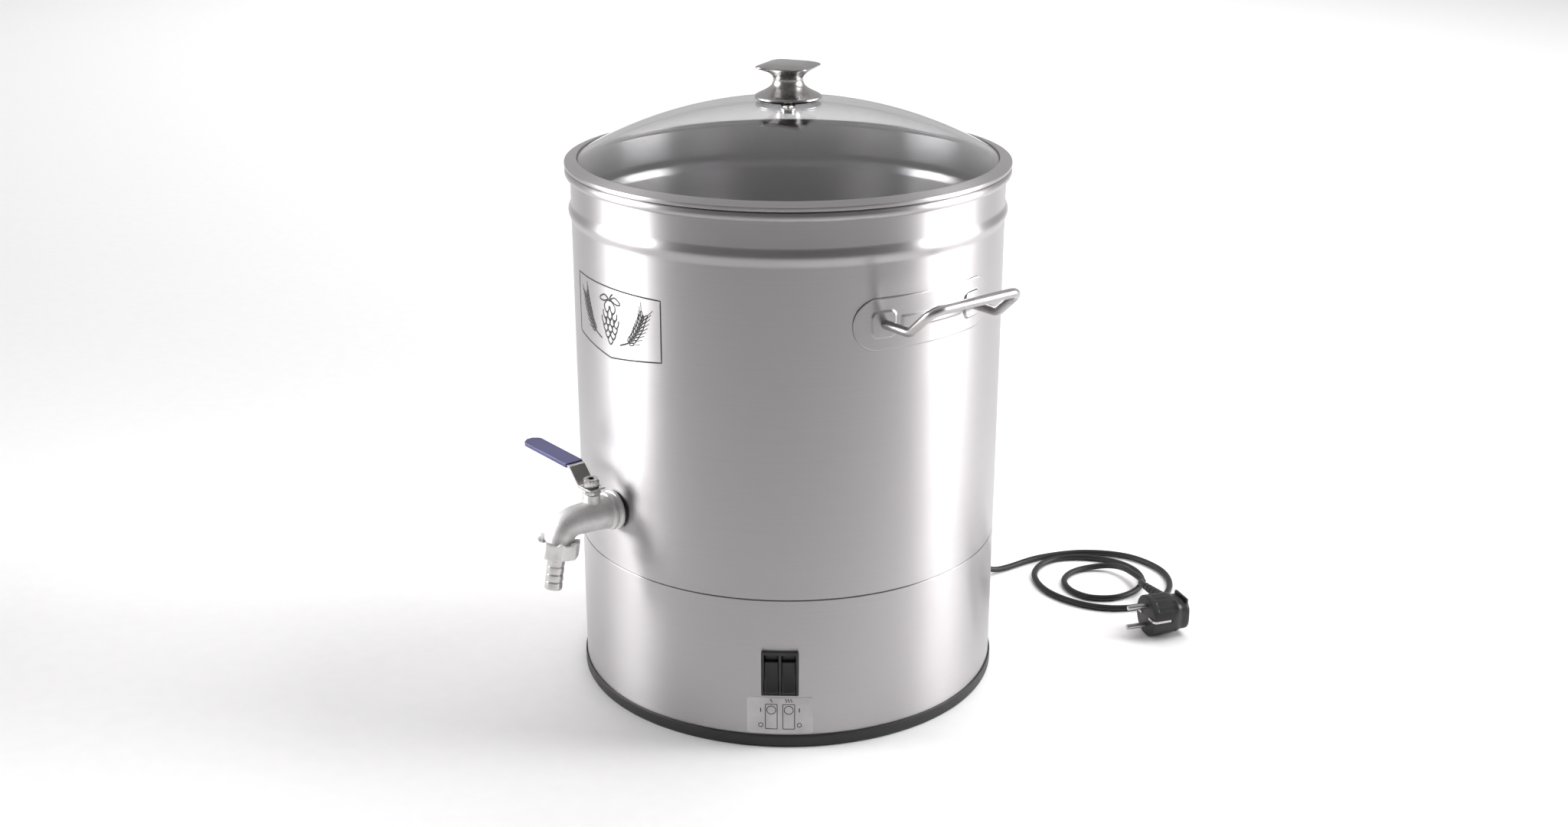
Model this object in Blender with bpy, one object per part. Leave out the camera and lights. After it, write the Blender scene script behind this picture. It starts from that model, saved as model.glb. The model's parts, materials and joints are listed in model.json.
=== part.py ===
"""Electric brew kettle, about 30 litres: a stainless vessel on a heated base, with a ball tap, two welded
handles, a twin rocker switch, a mains lead with its plug, and a glass lid that lifts off.

Metres, +Z up. The origin is on the kettle's axis, on the surface that it stands on. The tap points along
-Y, the handles stand at +X and -X, and the lead leaves at +Y. An azimuth is measured from -Y towards +X.
"""

import math

import bmesh
import bpy
from mathutils import Matrix, Vector

# ---- Vessel and base -------------------------------------------------------------------------------
BODY_R = 0.1800  # outside radius of the vessel and of the skirt below it
SHEET = 0.0012  # wall thickness
SEGMENTS = 48  # facets round every large turned piece, so that nested ones stay parallel
GAP = 0.0003  # clearance between pieces that touch
SEAM_Z = 0.1310  # joint between the vessel and the skirt
RIM_Z = 0.4436  # middle of the rolled rim
RIM_HALF = (0.0029, 0.00365)  # half width and half height of the rolled rim
RIDGE_Z = (0.4035, 0.4195)  # bottom and top of the pressed ridge under the rim
RIDGE_DEPTH = 0.0023
FLOOR_Z = 0.1370  # top of the vessel's floor
FLOOR_SHEET = 0.0015
FLOOR_SKIRT_Z = 0.1190  # the floor's turned-down edge bridges the seam
RING_R = 0.1816  # rubber foot ring
RING_H = 0.01075
RING_INNER_R = 0.1765
PLATE_R = 0.1760  # base plate
PLATE_Z = 0.0030
PLATE_RIM_H = 0.0080
SCREW_CIRCLE_R = 0.1705
SCREW_AZIMUTHS = (20.0, 140.0, 260.0)
TAB_Z = 0.0150  # underside of the tabs that the base screws go into

# ---- Heating -----------------------------------------------------------------------------------------
SPREADER_R = 0.1200
SPREADER_H = 0.0060
ELEMENT_TUBE_R = 0.0040
ELEMENTS = (("element_low", 0.0600), ("element_high", 0.0950))  # name and ring radius
ELEMENT_LEG = 0.0300
ELEMENT_GAP_DEG = 30.0
ELEMENT_AZIMUTH = 49.5  # the legs come down on the switch's side
COVER_R = 0.1235
COVER_Z = 0.1020

# ---- Switch ------------------------------------------------------------------------------------------
SWITCH_AZIMUTH = 49.5
SWITCH_Z = 0.0664
BEZEL = (0.0305, 0.0402, 0.0020)  # width, height and thickness
ROCKER = (0.0110, 0.0334)
ROCKER_PITCH = 0.0140
ROCKER_TILT_DEG = 8.0  # either way from level; at rest the top end is pressed in
PIVOT_DEPTH = 0.0050  # rocker pivot below the bezel's face
LABEL_Z = (0.0123, 0.0448)
LABEL_HALF_DEG = 8.6

# ---- Handles -----------------------------------------------------------------------------------------
HANDLE_Z = 0.3564
HANDLE_PLATE = (0.1430, 0.0418, 0.0010)  # length round the wall, height, thickness
HANDLE_ROD_R = 0.0038
HANDLE_HALF = 0.0455  # each leg's distance from the handle's middle
HANDLE_REACH = (0.2045, 0.2289)  # axis to the elbow, and axis to the grip
HANDLE_RISE = 0.0222  # the grip stands this far above the legs
HANDLE_BEND_R = 0.0110
PAD_HALF = (0.0108, 0.0110)  # pressed pad round each leg
PAD_RAISE = 0.0014
RIB_HALF = (0.0310, 0.0050)

# ---- Lid ---------------------------------------------------------------------------------------------
DOME_TOP_Z = 0.4984
DOME_R = 0.3570  # radius of the glass dome's outer sphere
GLASS = 0.0040
GLASS_EDGE_R = 0.1755
BAND_R = 0.1846
BAND_Z = 0.4478  # underside of the band, on the rolled rim
VENT_RADIUS = 0.0352  # vent's distance from the middle
VENT_AZIMUTH = 51.5
KNOB_FLANGE_R = 0.0278
KNOB_Z = 0.4996
KNOB_TOP_HALF = 0.0225
KNOB_TOP_CORNER = 0.0085
KNOB_TURN_DEG = 28.5
KNOB_H = 0.0297

# ---- Tap ---------------------------------------------------------------------------------------------
TAP_Z = 0.1823
TAP_STEM_X = 0.2028  # stem's distance from the kettle's axis
TAP_BEND_X = 0.2185  # where the spout starts to bend down
TAP_BEND_R = 0.0180
TAP_BEND_DEG = 80.4
TAP_FLANGE_R = 0.0161
TAP_BORE_R = 0.0065
SHANK_R = 0.0102
CHAMBER_R = 0.0094
BALL_R = 0.0083
BALL_BORE_R = 0.0050
STEM_R = 0.0030
LEVER_AZIMUTH = -87.0
LEVER_HALF = 0.0075
LEVER_SHEET = 0.0015
HOSE_TAIL_R = 0.0072
HOSE_TAIL_BORE_R = 0.0048
HOSE_TAIL_END = 0.0390  # from the end of the bend, along the outlet
NUT_R = 0.0182  # union nut, from its axis to a corner

# ---- Mains lead --------------------------------------------------------------------------------------
CORD_R = 0.0028
CORD_SPACING = 0.0140
GLAND_AZIMUTH = 180.0
GLAND_Z = 0.0220
RELIEF_X = (0.1925, 0.2145)  # strain relief, from the kettle's axis
PLUG_FACE = (0.1820, 0.2750, 0.0187)
PLUG_HEADING_DEG = 68.3  # from the plug's face towards its back
PLUG_R = 0.0185
PLUG_LENGTH = 0.0375
PIN_PITCH = 0.0190
PIN_R = 0.0024
PIN_LENGTH = 0.0190
BOOT_X = 0.0310  # the lead's boot enters the plug's side this far behind its face
BOOT_RISE = 0.0015  # and this far above the plug's middle
BOOT_Y = (0.0200, 0.0610)
BOOT_DROOP_DEG = 5.0

# The lead's route over the surface, from the strain relief to the plug's boot, chosen by hand.
FLOOR_CORD_Z = CORD_R + 0.0002
CORD_ROUTE = (
    (0.0000, 0.2200, 0.0220),
    (0.0000, 0.2290, 0.0202),
    (0.0002, 0.2420, 0.0130),
    (0.0008, 0.2580, 0.0052),
    (0.0020, 0.2760, FLOOR_CORD_Z),
    (0.0050, 0.3180, FLOOR_CORD_Z),
    (0.0230, 0.3610, FLOOR_CORD_Z),
    (0.0570, 0.3890, FLOOR_CORD_Z),
    (0.0970, 0.3910, FLOOR_CORD_Z),
    (0.1270, 0.3730, FLOOR_CORD_Z),
    (0.1440, 0.3430, FLOOR_CORD_Z),
    (0.1440, 0.3110, FLOOR_CORD_Z),
    (0.1270, 0.2840, FLOOR_CORD_Z),
    (0.0990, 0.2690, FLOOR_CORD_Z),
    (0.0650, 0.2670, FLOOR_CORD_Z),
    (0.0350, 0.2810, FLOOR_CORD_Z),
    (0.0190, 0.3040, FLOOR_CORD_Z),
    (0.0180, 0.3300, FLOOR_CORD_Z),
    (0.0330, 0.3540, FLOOR_CORD_Z),
    (0.0580, 0.3690, FLOOR_CORD_Z),
    (0.0840, 0.3700, FLOOR_CORD_Z),
    (0.1060, 0.3570, FLOOR_CORD_Z),
    (0.1175, 0.3340, FLOOR_CORD_Z),
    (0.1165, 0.3080, FLOOR_CORD_Z),
    (0.1010, 0.2890, FLOOR_CORD_Z),
    (0.0790, 0.2860, FLOOR_CORD_Z),
    (0.0590, 0.2970, FLOOR_CORD_Z),
    (0.0500, 0.3170, FLOOR_CORD_Z),
    (0.0530, 0.3380, 0.0034),
    (0.0660, 0.3530, 0.0058),
    (0.0830, 0.3550, 0.0086),
    (0.1010, 0.3500, 0.0102),
    (0.1200, 0.3412, 0.0124),
)


def clear_scene():
    for old in list(bpy.data.objects):
        bpy.data.objects.remove(old, do_unlink=True)


def finish(name, colour, roughness, metallic):
    """A Principled material."""
    made = bpy.data.materials.new(name)
    made.use_nodes = True
    shader = made.node_tree.nodes["Principled BSDF"]
    shader.inputs["Base Color"].default_value = (*colour, 1.0)
    shader.inputs["Roughness"].default_value = roughness
    shader.inputs["Metallic"].default_value = metallic
    made.diffuse_color = (*colour, 1.0)
    return made


def outward(azimuth, radius, height=0.0):
    """A point at an azimuth in degrees, a radius and a height."""
    angle = math.radians(azimuth)
    return Vector((radius * math.sin(angle), -radius * math.cos(angle), height))


def frame(name, parent=None, location=(0, 0, 0), rotation=(0, 0, 0)):
    """An empty that other pieces are placed in."""
    empty = bpy.data.objects.new(name, None)
    bpy.context.scene.collection.objects.link(empty)
    empty.parent = parent
    empty.location = location
    empty.rotation_euler = rotation
    return empty


def wall_frame(name, azimuth, height, parent):
    """An empty on the kettle's axis whose +X points out through the wall, with +Y round it and +Z up."""
    return frame(name, parent, (0, 0, height), (0, 0, math.radians(azimuth - 90)))


def place(name, bm, material, parent, location=(0, 0, 0), rotation=(0, 0, 0)):
    """Turn a bmesh into a named object."""
    bmesh.ops.recalc_face_normals(bm, faces=bm.faces[:])
    mesh = bpy.data.meshes.new(name)
    bm.to_mesh(mesh)
    bm.free()
    mesh.shade_smooth()
    mesh.set_sharp_from_angle(angle=math.radians(35))
    mesh.materials.append(material)
    made = bpy.data.objects.new(name, mesh)
    bpy.context.scene.collection.objects.link(made)
    made.parent = parent
    made.location = location
    made.rotation_euler = rotation
    return made


def combine(part, operation, *tools):
    """Boolean each tool with the part, and leave the tool out of renders."""
    for tool in tools:
        modifier = part.modifiers.new(f"{operation.lower()} {tool.name}", "BOOLEAN")
        modifier.operation = operation
        modifier.object = tool
        modifier.solver = "EXACT"
        tool.hide_render = True
        tool.display_type = "WIRE"


def skin(bm, rings, closed=True):
    """Join rings of vertices in order; a ring of one vertex is a pole. Open skins get flat ends."""
    pairs = list(zip(rings, rings[1:]))
    if closed:
        pairs.append((rings[-1], rings[0]))
    for near, far in pairs:
        count = max(len(near), len(far))
        if count == 1:
            continue
        for k in range(count):
            turn = (k + 1) % count
            corners = (
                near[k % len(near)],
                near[turn % len(near)],
                far[turn % len(far)],
                far[k % len(far)],
            )
            bm.faces.new(dict.fromkeys(corners))
    if not closed:
        bm.faces.new(rings[0])
        bm.faces.new(rings[-1])


def turned(profile, segments=SEGMENTS, along="Z"):
    """A solid of revolution from a closed outline of (radius, height) points, about Z or X."""
    bm = bmesh.new()
    rings = []
    for radius, height in profile:
        around = segments if radius > 0 else 1
        ring = []
        for k in range(around):
            angle = 2 * math.pi * k / around
            ring.append(bm.verts.new((radius * math.cos(angle), radius * math.sin(angle), height)))
        rings.append(ring)
    skin(bm, rings)
    if along == "X":
        bmesh.ops.transform(bm, matrix=Matrix.Rotation(math.pi / 2, 4, "Y"), verts=bm.verts[:])
    return bm


def disc(radius, low, high):
    """Outline of a plain disc or rod for turned()."""
    return [(0, low), (radius, low), (radius, high), (0, high)]


def tube(outer, inner, low, high):
    """Outline of a plain ring or pipe for turned()."""
    return [(outer, low), (outer, high), (inner, high), (inner, low)]


def prism(outline, low, high):
    """A flat outline of (x, y) points raised along Z."""
    bm = bmesh.new()
    rings = [[bm.verts.new((x, y, z)) for x, y in outline] for z in (low, high)]
    skin(bm, rings, closed=False)
    return bm


def block(low, high):
    """A box between two corners."""
    corners = ((low[0], low[1]), (high[0], low[1]), (high[0], high[1]), (low[0], high[1]))
    return prism(corners, low[2], high[2])


def polygon(sides, radius, turn_deg=0.0):
    """Corners of a regular polygon."""
    angles = [math.radians(turn_deg) + 2 * math.pi * k / sides for k in range(sides)]
    return [(radius * math.cos(a), radius * math.sin(a)) for a in angles]


def rounded_square(half_x, half_y, corner, steps=4):
    """Corners of a rectangle with round corners."""
    points = []
    for quarter, (sx, sy) in enumerate(((1, 1), (-1, 1), (-1, -1), (1, -1))):
        for k in range(steps + 1):
            angle = math.pi / 2 * (quarter + k / steps)
            x = sx * (half_x - corner) + corner * math.cos(angle)
            y = sy * (half_y - corner) + corner * math.sin(angle)
            points.append((x, y))
    return points


def bent_plate(half_angle, half_height, inner, outer, columns):
    """A plate on the wall, in a wall frame: half_height gives its half height at a share of the angle."""
    bm = bmesh.new()
    rings = []
    for k in range(columns + 1):
        share = -math.cos(math.pi * k / columns)
        angle = share * half_angle
        tall = half_height(share)
        ring = []
        for radius, height in ((inner, -tall), (outer, -tall), (outer, tall), (inner, tall)):
            ring.append(bm.verts.new((radius * math.cos(angle), radius * math.sin(angle), height)))
        rings.append(ring)
    skin(bm, rings, closed=False)
    return bm


def swept(points, radii, sides):
    """A round pipe in the XZ plane, along points (x, z) with a radius at each."""
    bm = bmesh.new()
    rings = []
    last = len(points) - 1
    for k, ((x, z), radius) in enumerate(zip(points, radii)):
        before, after = points[max(k - 1, 0)], points[min(k + 1, last)]
        along = Vector((after[0] - before[0], 0, after[1] - before[1])).normalized()
        side = Vector((0, 1, 0))
        up = side.cross(along)
        ring = []
        for n in range(sides):
            angle = 2 * math.pi * n / sides
            offset = side * math.cos(angle) + up * math.sin(angle)
            ring.append(bm.verts.new(Vector((x, 0, z)) + radius * offset))
        rings.append(ring)
    skin(bm, rings, closed=False)
    return bm


def rounded_path(corners, radius, steps=5):
    """Points along straight runs between corners, with each inner corner rounded by an arc."""
    corners = [Vector(c) for c in corners]
    path = [corners[0]]
    for before, corner, after in zip(corners, corners[1:], corners[2:]):
        back = (before - corner).normalized()
        ahead = (after - corner).normalized()
        half = back.angle(ahead) / 2
        centre = corner + (back + ahead).normalized() * radius / math.sin(half)
        start = corner + back * radius / math.tan(half)
        axis = back.cross(ahead).normalized()
        sweep = -(math.pi - 2 * half)
        for k in range(steps + 1):
            turn = Matrix.Rotation(sweep * k / steps, 4, axis)
            path.append(centre + turn @ (start - centre))
    path.append(corners[-1])
    return path


def smooth_route(points, spacing):
    """Even points along one smooth curve (Catmull-Rom) through the given ones."""
    knots = [Vector(p) for p in points]
    knots = [2 * knots[0] - knots[1], *knots, 2 * knots[-1] - knots[-2]]
    fine = []
    for a, b, c, d in zip(knots, knots[1:], knots[2:], knots[3:]):
        for k in range(24):
            t = k / 24
            bend = (2 * a - 5 * b + 4 * c - d) * t**2 + (3 * b - a - 3 * c + d) * t**3
            fine.append(0.5 * (2 * b + (c - a) * t + bend))
    fine.append(knots[-2])
    lengths = [0.0]
    for near, far in zip(fine, fine[1:]):
        lengths.append(lengths[-1] + (far - near).length)
    count = round(lengths[-1] / spacing)
    route, k = [], 0
    for n in range(count + 1):
        wanted = lengths[-1] * n / count
        while k < len(fine) - 2 and lengths[k + 1] < wanted:
            k += 1
        share = (wanted - lengths[k]) / (lengths[k + 1] - lengths[k])
        route.append(fine[k].lerp(fine[k + 1], min(max(share, 0.0), 1.0)))
    return route


def wire(name, points, radius, material, parent, resolution=2):
    """A round rod, wire or lead along points, with closed ends."""
    curve = bpy.data.curves.new(name, "CURVE")
    curve.dimensions = "3D"
    curve.bevel_depth = radius
    curve.bevel_resolution = resolution
    curve.use_fill_caps = True
    spline = curve.splines.new("POLY")
    spline.points.add(len(points) - 1)
    for point, place_at in zip(spline.points, points):
        point.co = (*place_at, 1.0)
    curve.materials.append(material)
    made = bpy.data.objects.new(name, curve)
    bpy.context.scene.collection.objects.link(made)
    made.parent = parent
    return made


def ridge(radius, upward):
    """The pressed ridge on one side of the wall, as (radius, height) points."""
    low, high = RIDGE_Z
    steps = 4
    order = range(steps + 1) if upward else range(steps, -1, -1)
    points = []
    for k in order:
        raised = RIDGE_DEPTH * math.sin(math.pi * k / steps) ** 2
        points.append((radius + raised, low + (high - low) * k / steps))
    return points


def rolled_rim(steps=6):
    """The rim from the wall's outside, over its top, to the wall's inside."""
    centre_r = BODY_R - SHEET + RIM_HALF[0]
    start = -math.acos((BODY_R - centre_r) / RIM_HALF[0])
    points = []
    for k in range(steps + 1):
        angle = start + (math.pi - start) * k / steps
        points.append((centre_r + RIM_HALF[0] * math.cos(angle), RIM_Z + RIM_HALF[1] * math.sin(angle)))
    return points


def make_vessel(kettle, tap, steel):
    inner = BODY_R - SHEET
    bottom = SEAM_Z + GAP
    profile = [(BODY_R, bottom), *ridge(BODY_R, True), *rolled_rim(), *ridge(inner, False), (inner, bottom)]
    wall = place("vessel_wall", turned(profile), steel, kettle)
    hole = turned(disc(SHANK_R + 0.0004, 0.160, 0.195), 24, "X")
    combine(wall, "DIFFERENCE", place("cutter_tap_hole", hole, steel, tap))
    edge = inner - 0.0004
    floor = [
        (0, FLOOR_Z),
        (edge - 0.0020, FLOOR_Z),
        (edge, FLOOR_Z - 0.0020),
        (edge, FLOOR_SKIRT_Z),
        (edge - FLOOR_SHEET, FLOOR_SKIRT_Z),
        (edge - FLOOR_SHEET, FLOOR_Z - 0.0025),
        (edge - 0.0025, FLOOR_Z - FLOOR_SHEET),
        (0, FLOOR_Z - FLOOR_SHEET),
    ]
    place("vessel_floor", turned(floor), steel, kettle)


def make_base(kettle, switch, gland, steel, rubber, zinc):
    inner = BODY_R - SHEET
    skirt = place("base_skirt", turned(tube(BODY_R, inner, 0.0028, SEAM_Z - GAP)), steel, kettle)
    opening = block((0.160, -0.0141, -0.0189), (0.190, 0.0141, 0.0189))
    combine(skirt, "DIFFERENCE", place("cutter_switch", opening, steel, switch))
    lead_hole = turned(disc(0.0062, 0.160, 0.195), 16, "X")
    combine(skirt, "DIFFERENCE", place("cutter_gland", lead_hole, steel, gland))
    plate = [
        (0, PLATE_Z),
        (PLATE_R, PLATE_Z),
        (PLATE_R, PLATE_Z + PLATE_RIM_H),
        (PLATE_R - SHEET, PLATE_Z + PLATE_RIM_H),
        (PLATE_R - SHEET, PLATE_Z + SHEET),
        (0, PLATE_Z + SHEET),
    ]
    base_plate = place("base_plate", turned(plate), zinc, kettle)
    for number, azimuth in enumerate(SCREW_AZIMUTHS, 1):
        spot = wall_frame(f"base_screw_place_{number}", azimuth, 0.0, kettle)
        tab = block((0.1640, -0.0070, TAB_Z), (inner + 0.0005, 0.0070, TAB_Z + 0.0020))
        combine(skirt, "UNION", place(f"tab_{number}", tab, steel, spot))
        at = (SCREW_CIRCLE_R, 0, 0)
        bore = turned(disc(0.0020, TAB_Z - 0.002, TAB_Z + 0.004), 12)
        combine(skirt, "DIFFERENCE", place(f"cutter_tab_{number}", bore, steel, spot, at))
        bore = turned(disc(0.0024, PLATE_Z - 0.002, PLATE_Z + 0.004), 12)
        combine(base_plate, "DIFFERENCE", place(f"cutter_plate_{number}", bore, steel, spot, at))
        screw = [(0, 0.0008), (0.0026, 0.0008), (0.0036, 0.0016), (0.0036, PLATE_Z - GAP)]
        screw += [(0.0017, PLATE_Z - GAP), (0.0017, TAB_Z + 0.0040), (0, TAB_Z + 0.0040)]
        place(f"base_screw_{number}", turned(screw, 12), zinc, spot, at)
    for number in range(6):
        slot = prism(rounded_square(0.0150, 0.0020, 0.0019, 2), PLATE_Z - 0.002, PLATE_Z + 0.004)
        azimuth = 20 + 60 * number
        spot = outward(azimuth, 0.0900)
        turn = (0, 0, math.radians(azimuth))
        combine(base_plate, "DIFFERENCE", place(f"cutter_vent_{number}", slot, steel, kettle, spot, turn))
    ring = [
        (RING_INNER_R, 0.0),
        (RING_R - 0.0008, 0.0),
        (RING_R, 0.0010),
        (RING_R, RING_H - 0.0008),
        (RING_R - 0.0006, RING_H),
        (BODY_R + GAP, RING_H),
        (BODY_R + GAP, 0.0025),
        (inner - GAP, 0.0025),
        (inner - GAP, 0.0095),
        (RING_INNER_R, 0.0095),
    ]
    place("foot_ring", turned(ring), rubber, kettle)


def make_heating(kettle, heating, aluminium, element, zinc, ceramic, copper, plastic):
    top = FLOOR_Z - FLOOR_SHEET - GAP
    under = top - SPREADER_H
    stud_r, stud_end = 0.0030, COVER_Z - 0.0075
    spreader = [(0, top), (SPREADER_R, top), (SPREADER_R, under), (stud_r, under)]
    spreader += [(stud_r, stud_end), (0, stud_end)]
    place("heat_spreader", turned(spreader, 36), aluminium, kettle)
    cover = [
        (0.0036, COVER_Z),
        (COVER_R - 0.0020, COVER_Z),
        (COVER_R, COVER_Z + 0.0020),
        (COVER_R, top - 0.0010),
        (COVER_R - 0.0010, top - 0.0010),
        (COVER_R - 0.0010, COVER_Z + 0.0025),
        (COVER_R - 0.0025, COVER_Z + 0.0010),
        (0.0036, COVER_Z + 0.0010),
    ]
    cover_part = place("heater_cover", turned(cover, 36), zinc, kettle)
    nut = prism(polygon(6, 0.0058), COVER_Z - 0.0053, COVER_Z - GAP)
    nut_part = place("cover_nut", nut, zinc, kettle)
    bore = turned(disc(0.0033, 0.09, 0.11), 12)
    combine(nut_part, "DIFFERENCE", place("cutter_cover_nut", bore, zinc, kettle))
    middle_z = under - GAP - ELEMENT_TUBE_R
    for name, radius in ELEMENTS:
        leg_half = math.radians(ELEMENT_GAP_DEG * 0.0600 / radius / 2)
        steps = 18
        arc = []
        for k in range(steps + 1):
            angle = leg_half + (2 * math.pi - 2 * leg_half) * k / steps
            arc.append(Vector((radius * math.cos(angle), radius * math.sin(angle), middle_z)))
        drop = Vector((0, 0, -ELEMENT_LEG))
        bend = Vector((0, 0, -0.004))
        points = [arc[0] + drop, arc[0] + bend, *arc[1:-1], arc[-1] + bend, arc[-1] + drop]
        wire(name, points, ELEMENT_TUBE_R, element, heating)
        for side in (0, -1):
            centre = arc[side]
            slot = turned(disc(ELEMENT_TUBE_R + 0.0015, COVER_Z - 0.003, COVER_Z + 0.004), 12)
            slot_part = place(f"cutter_{name}_{side}", slot, zinc, heating, (centre.x, centre.y, 0))
            combine(cover_part, "DIFFERENCE", slot_part)
    cutout = [(0, top), (0.0080, top), (0.0080, top - 0.0070), (0.0060, top - 0.0090), (0, top - 0.0090)]
    place("thermal_cutout", turned(cutout, 20), ceramic, kettle, outward(90, 0.1450))
    low = PLATE_Z + SHEET + GAP
    body = block((-0.022, -0.010, low), (0.022, 0.010, low + 0.018))
    terminal = place("terminal_block", body, plastic, kettle, outward(170, 0.0900))
    for number in (-1, 0, 1):
        well = turned(disc(0.0030, low + 0.008, low + 0.020), 10)
        at = outward(170, 0.0900) + Vector((0.0130 * number, 0, 0))
        combine(terminal, "DIFFERENCE", place(f"cutter_terminal_{number}", well, plastic, kettle, at))
    stud = [(0, low), (0.0042, low), (0.0042, low + 0.0040), (0.0020, low + 0.0040)]
    stud += [(0.0020, low + 0.0120), (0, low + 0.0120)]
    place("earth_stud", turned(stud, 12), copper, kettle, outward(210, 0.0900))


def make_inner_wires(kettle, switch, red, brown, green):
    """Insulated wires inside the base, clear of every other piece."""
    bend = 0.012
    switch_back = wall_point(SWITCH_AZIMUTH, 0.1505)
    low_leg = heating_leg(ELEMENTS[0][1])
    high_leg = heating_leg(ELEMENTS[1][1])
    leg_end = element_leg_end()
    runs = (
        ("wire_low", red, switch_back(-0.007, 0.070), low_leg, 0.0560, leg_end),
        ("wire_high", brown, switch_back(0.007, 0.070), high_leg, 0.0480, leg_end),
    )
    for name, material, start, leg, level, top in runs:
        inner = start * 0.80
        points = [
            start,
            Vector((inner.x, inner.y, start.z)),
            Vector((inner.x, inner.y, level)),
            Vector((leg.x, leg.y, level)),
            Vector((leg.x, leg.y, top)),
        ]
        wire(name, rounded_path(points, bend, 3), 0.0014, material, kettle)
    block_top = outward(170, 0.0900, 0.0228)
    stud_top = outward(210, 0.0900, 0.0173)
    points = [
        block_top,
        block_top + Vector((0, 0, 0.020)),
        Vector((stud_top.x, stud_top.y, block_top.z + 0.020)),
        stud_top,
    ]
    wire("wire_earth", rounded_path(points, 0.010, 4), 0.0016, green, kettle)


def wall_point(azimuth, radius):
    """A function that gives the point at a sideways offset and a height, at an azimuth and a radius."""
    ahead = outward(azimuth, 1.0)
    aside = outward(azimuth + 90, 1.0)
    return lambda offset, height: ahead * radius + aside * offset + Vector((0, 0, height))


def heating_leg(radius):
    """Where an element's first leg comes down."""
    half = math.radians(ELEMENT_GAP_DEG * 0.0600 / radius / 2)
    angle = math.radians(ELEMENT_AZIMUTH - 90) + half
    return Vector((radius * math.cos(angle), radius * math.sin(angle), 0))


def element_leg_end():
    """Height just below the elements' legs."""
    middle_z = FLOOR_Z - FLOOR_SHEET - GAP - SPREADER_H - GAP - ELEMENT_TUBE_R
    return middle_z - ELEMENT_LEG - GAP


def make_switch(kettle, switch, black, print_film):
    width, height, thick = BEZEL
    face = BODY_R + GAP + thick
    bezel = block((BODY_R + GAP, -width / 2, -height / 2), (face, width / 2, height / 2))
    housing = place("switch_housing", bezel, black, switch)
    shell = block((face - 0.0270, -0.0136, -0.0184), (face - 0.0010, 0.0136, 0.0184))
    combine(housing, "UNION", place("switch_shell", shell, black, switch))
    for name, side in (("rocker_low", -1), ("rocker_high", 1)):
        middle = side * ROCKER_PITCH / 2
        half_w, half_h = ROCKER[0] / 2, ROCKER[1] / 2
        pocket_low = (face - 0.0180, middle - half_w - 0.0004, -half_h - 0.0006)
        pocket_high = (face + 0.0100, middle + half_w + 0.0004, half_h + 0.0006)
        pocket = place(f"cutter_{name}", block(pocket_low, pocket_high), black, switch)
        combine(housing, "DIFFERENCE", pocket)
        # The rocker's origin is on its pivot: local X out of the wall, local Z up.
        end = half_h - 0.0003
        outline = [
            (PIVOT_DEPTH + 0.0010, end),
            (PIVOT_DEPTH - 0.0004, 0.4 * end),
            (PIVOT_DEPTH - 0.0009, 0.0),
            (PIVOT_DEPTH - 0.0004, -0.4 * end),
            (PIVOT_DEPTH + 0.0010, -end),
            (-0.0010, -end),
            (-0.0060, -0.0050),
            (-0.0060, 0.0050),
            (-0.0010, end),
        ]
        bm = bmesh.new()
        rings = [[bm.verts.new((x, y, z)) for x, z in outline] for y in (-half_w, half_w)]
        skin(bm, rings, closed=False)
        pivot = (face - PIVOT_DEPTH, middle, 0)
        place(name, bm, black, switch, pivot, (0, -math.radians(ROCKER_TILT_DEG), 0))
    tall = (LABEL_Z[1] - LABEL_Z[0]) / 2
    label = wall_frame("label_place", SWITCH_AZIMUTH, (LABEL_Z[0] + LABEL_Z[1]) / 2, kettle)
    film = bent_plate(math.radians(LABEL_HALF_DEG), lambda share: tall, BODY_R + GAP, BODY_R + 2 * GAP, 6)
    place("switch_label", film, print_film, label)


def make_handles(kettle, steel):
    length, height, thick = HANDLE_PLATE
    inner = BODY_R + GAP
    outer = inner + thick
    half_angle = length / 2 / BODY_R
    straight = 1 - height / length

    def stadium(share):
        """Half height of the plate: full over its straight run, and a half round at each end."""
        along = max(abs(share) - straight, 0.0) / (1 - straight)
        return max(height / 2 * math.sqrt(max(1 - along**2, 0.0)), 0.0010)

    for name, azimuth in (("right", 90.0), ("left", -90.0)):
        at = wall_frame(f"handle_place_{name}", azimuth, HANDLE_Z, kettle)
        plate = place(f"handle_plate_{name}", bent_plate(half_angle, stadium, inner, outer, 18), steel, at)
        raised = outer + PAD_RAISE
        for side in (-1, 1):
            turn = math.asin(HANDLE_HALF / raised) * side
            pad = bent_plate(PAD_HALF[0] / BODY_R, lambda share: PAD_HALF[1], outer - 0.0005, raised, 3)
            pad_part = place(f"pad_{name}_{side}", pad, steel, at, (0, 0, 0), (0, 0, turn))
            combine(plate, "UNION", pad_part)
        rib = bent_plate(RIB_HALF[0] / BODY_R, lambda share: RIB_HALF[1], outer - 0.0004, outer + 0.0010, 6)
        combine(plate, "UNION", place(f"rib_{name}", rib, steel, at))
        root = math.sqrt(raised**2 - (HANDLE_HALF - HANDLE_ROD_R) ** 2) + 2 * GAP
        elbow, grip = HANDLE_REACH
        corners = [
            (root, -HANDLE_HALF, 0),
            (elbow, -HANDLE_HALF, 0),
            (grip, -HANDLE_HALF, HANDLE_RISE),
            (grip, HANDLE_HALF, HANDLE_RISE),
            (elbow, HANDLE_HALF, 0),
            (root, HANDLE_HALF, 0),
        ]
        wire(f"handle_rod_{name}", rounded_path(corners, HANDLE_BEND_R), HANDLE_ROD_R, steel, at, 3)


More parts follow.
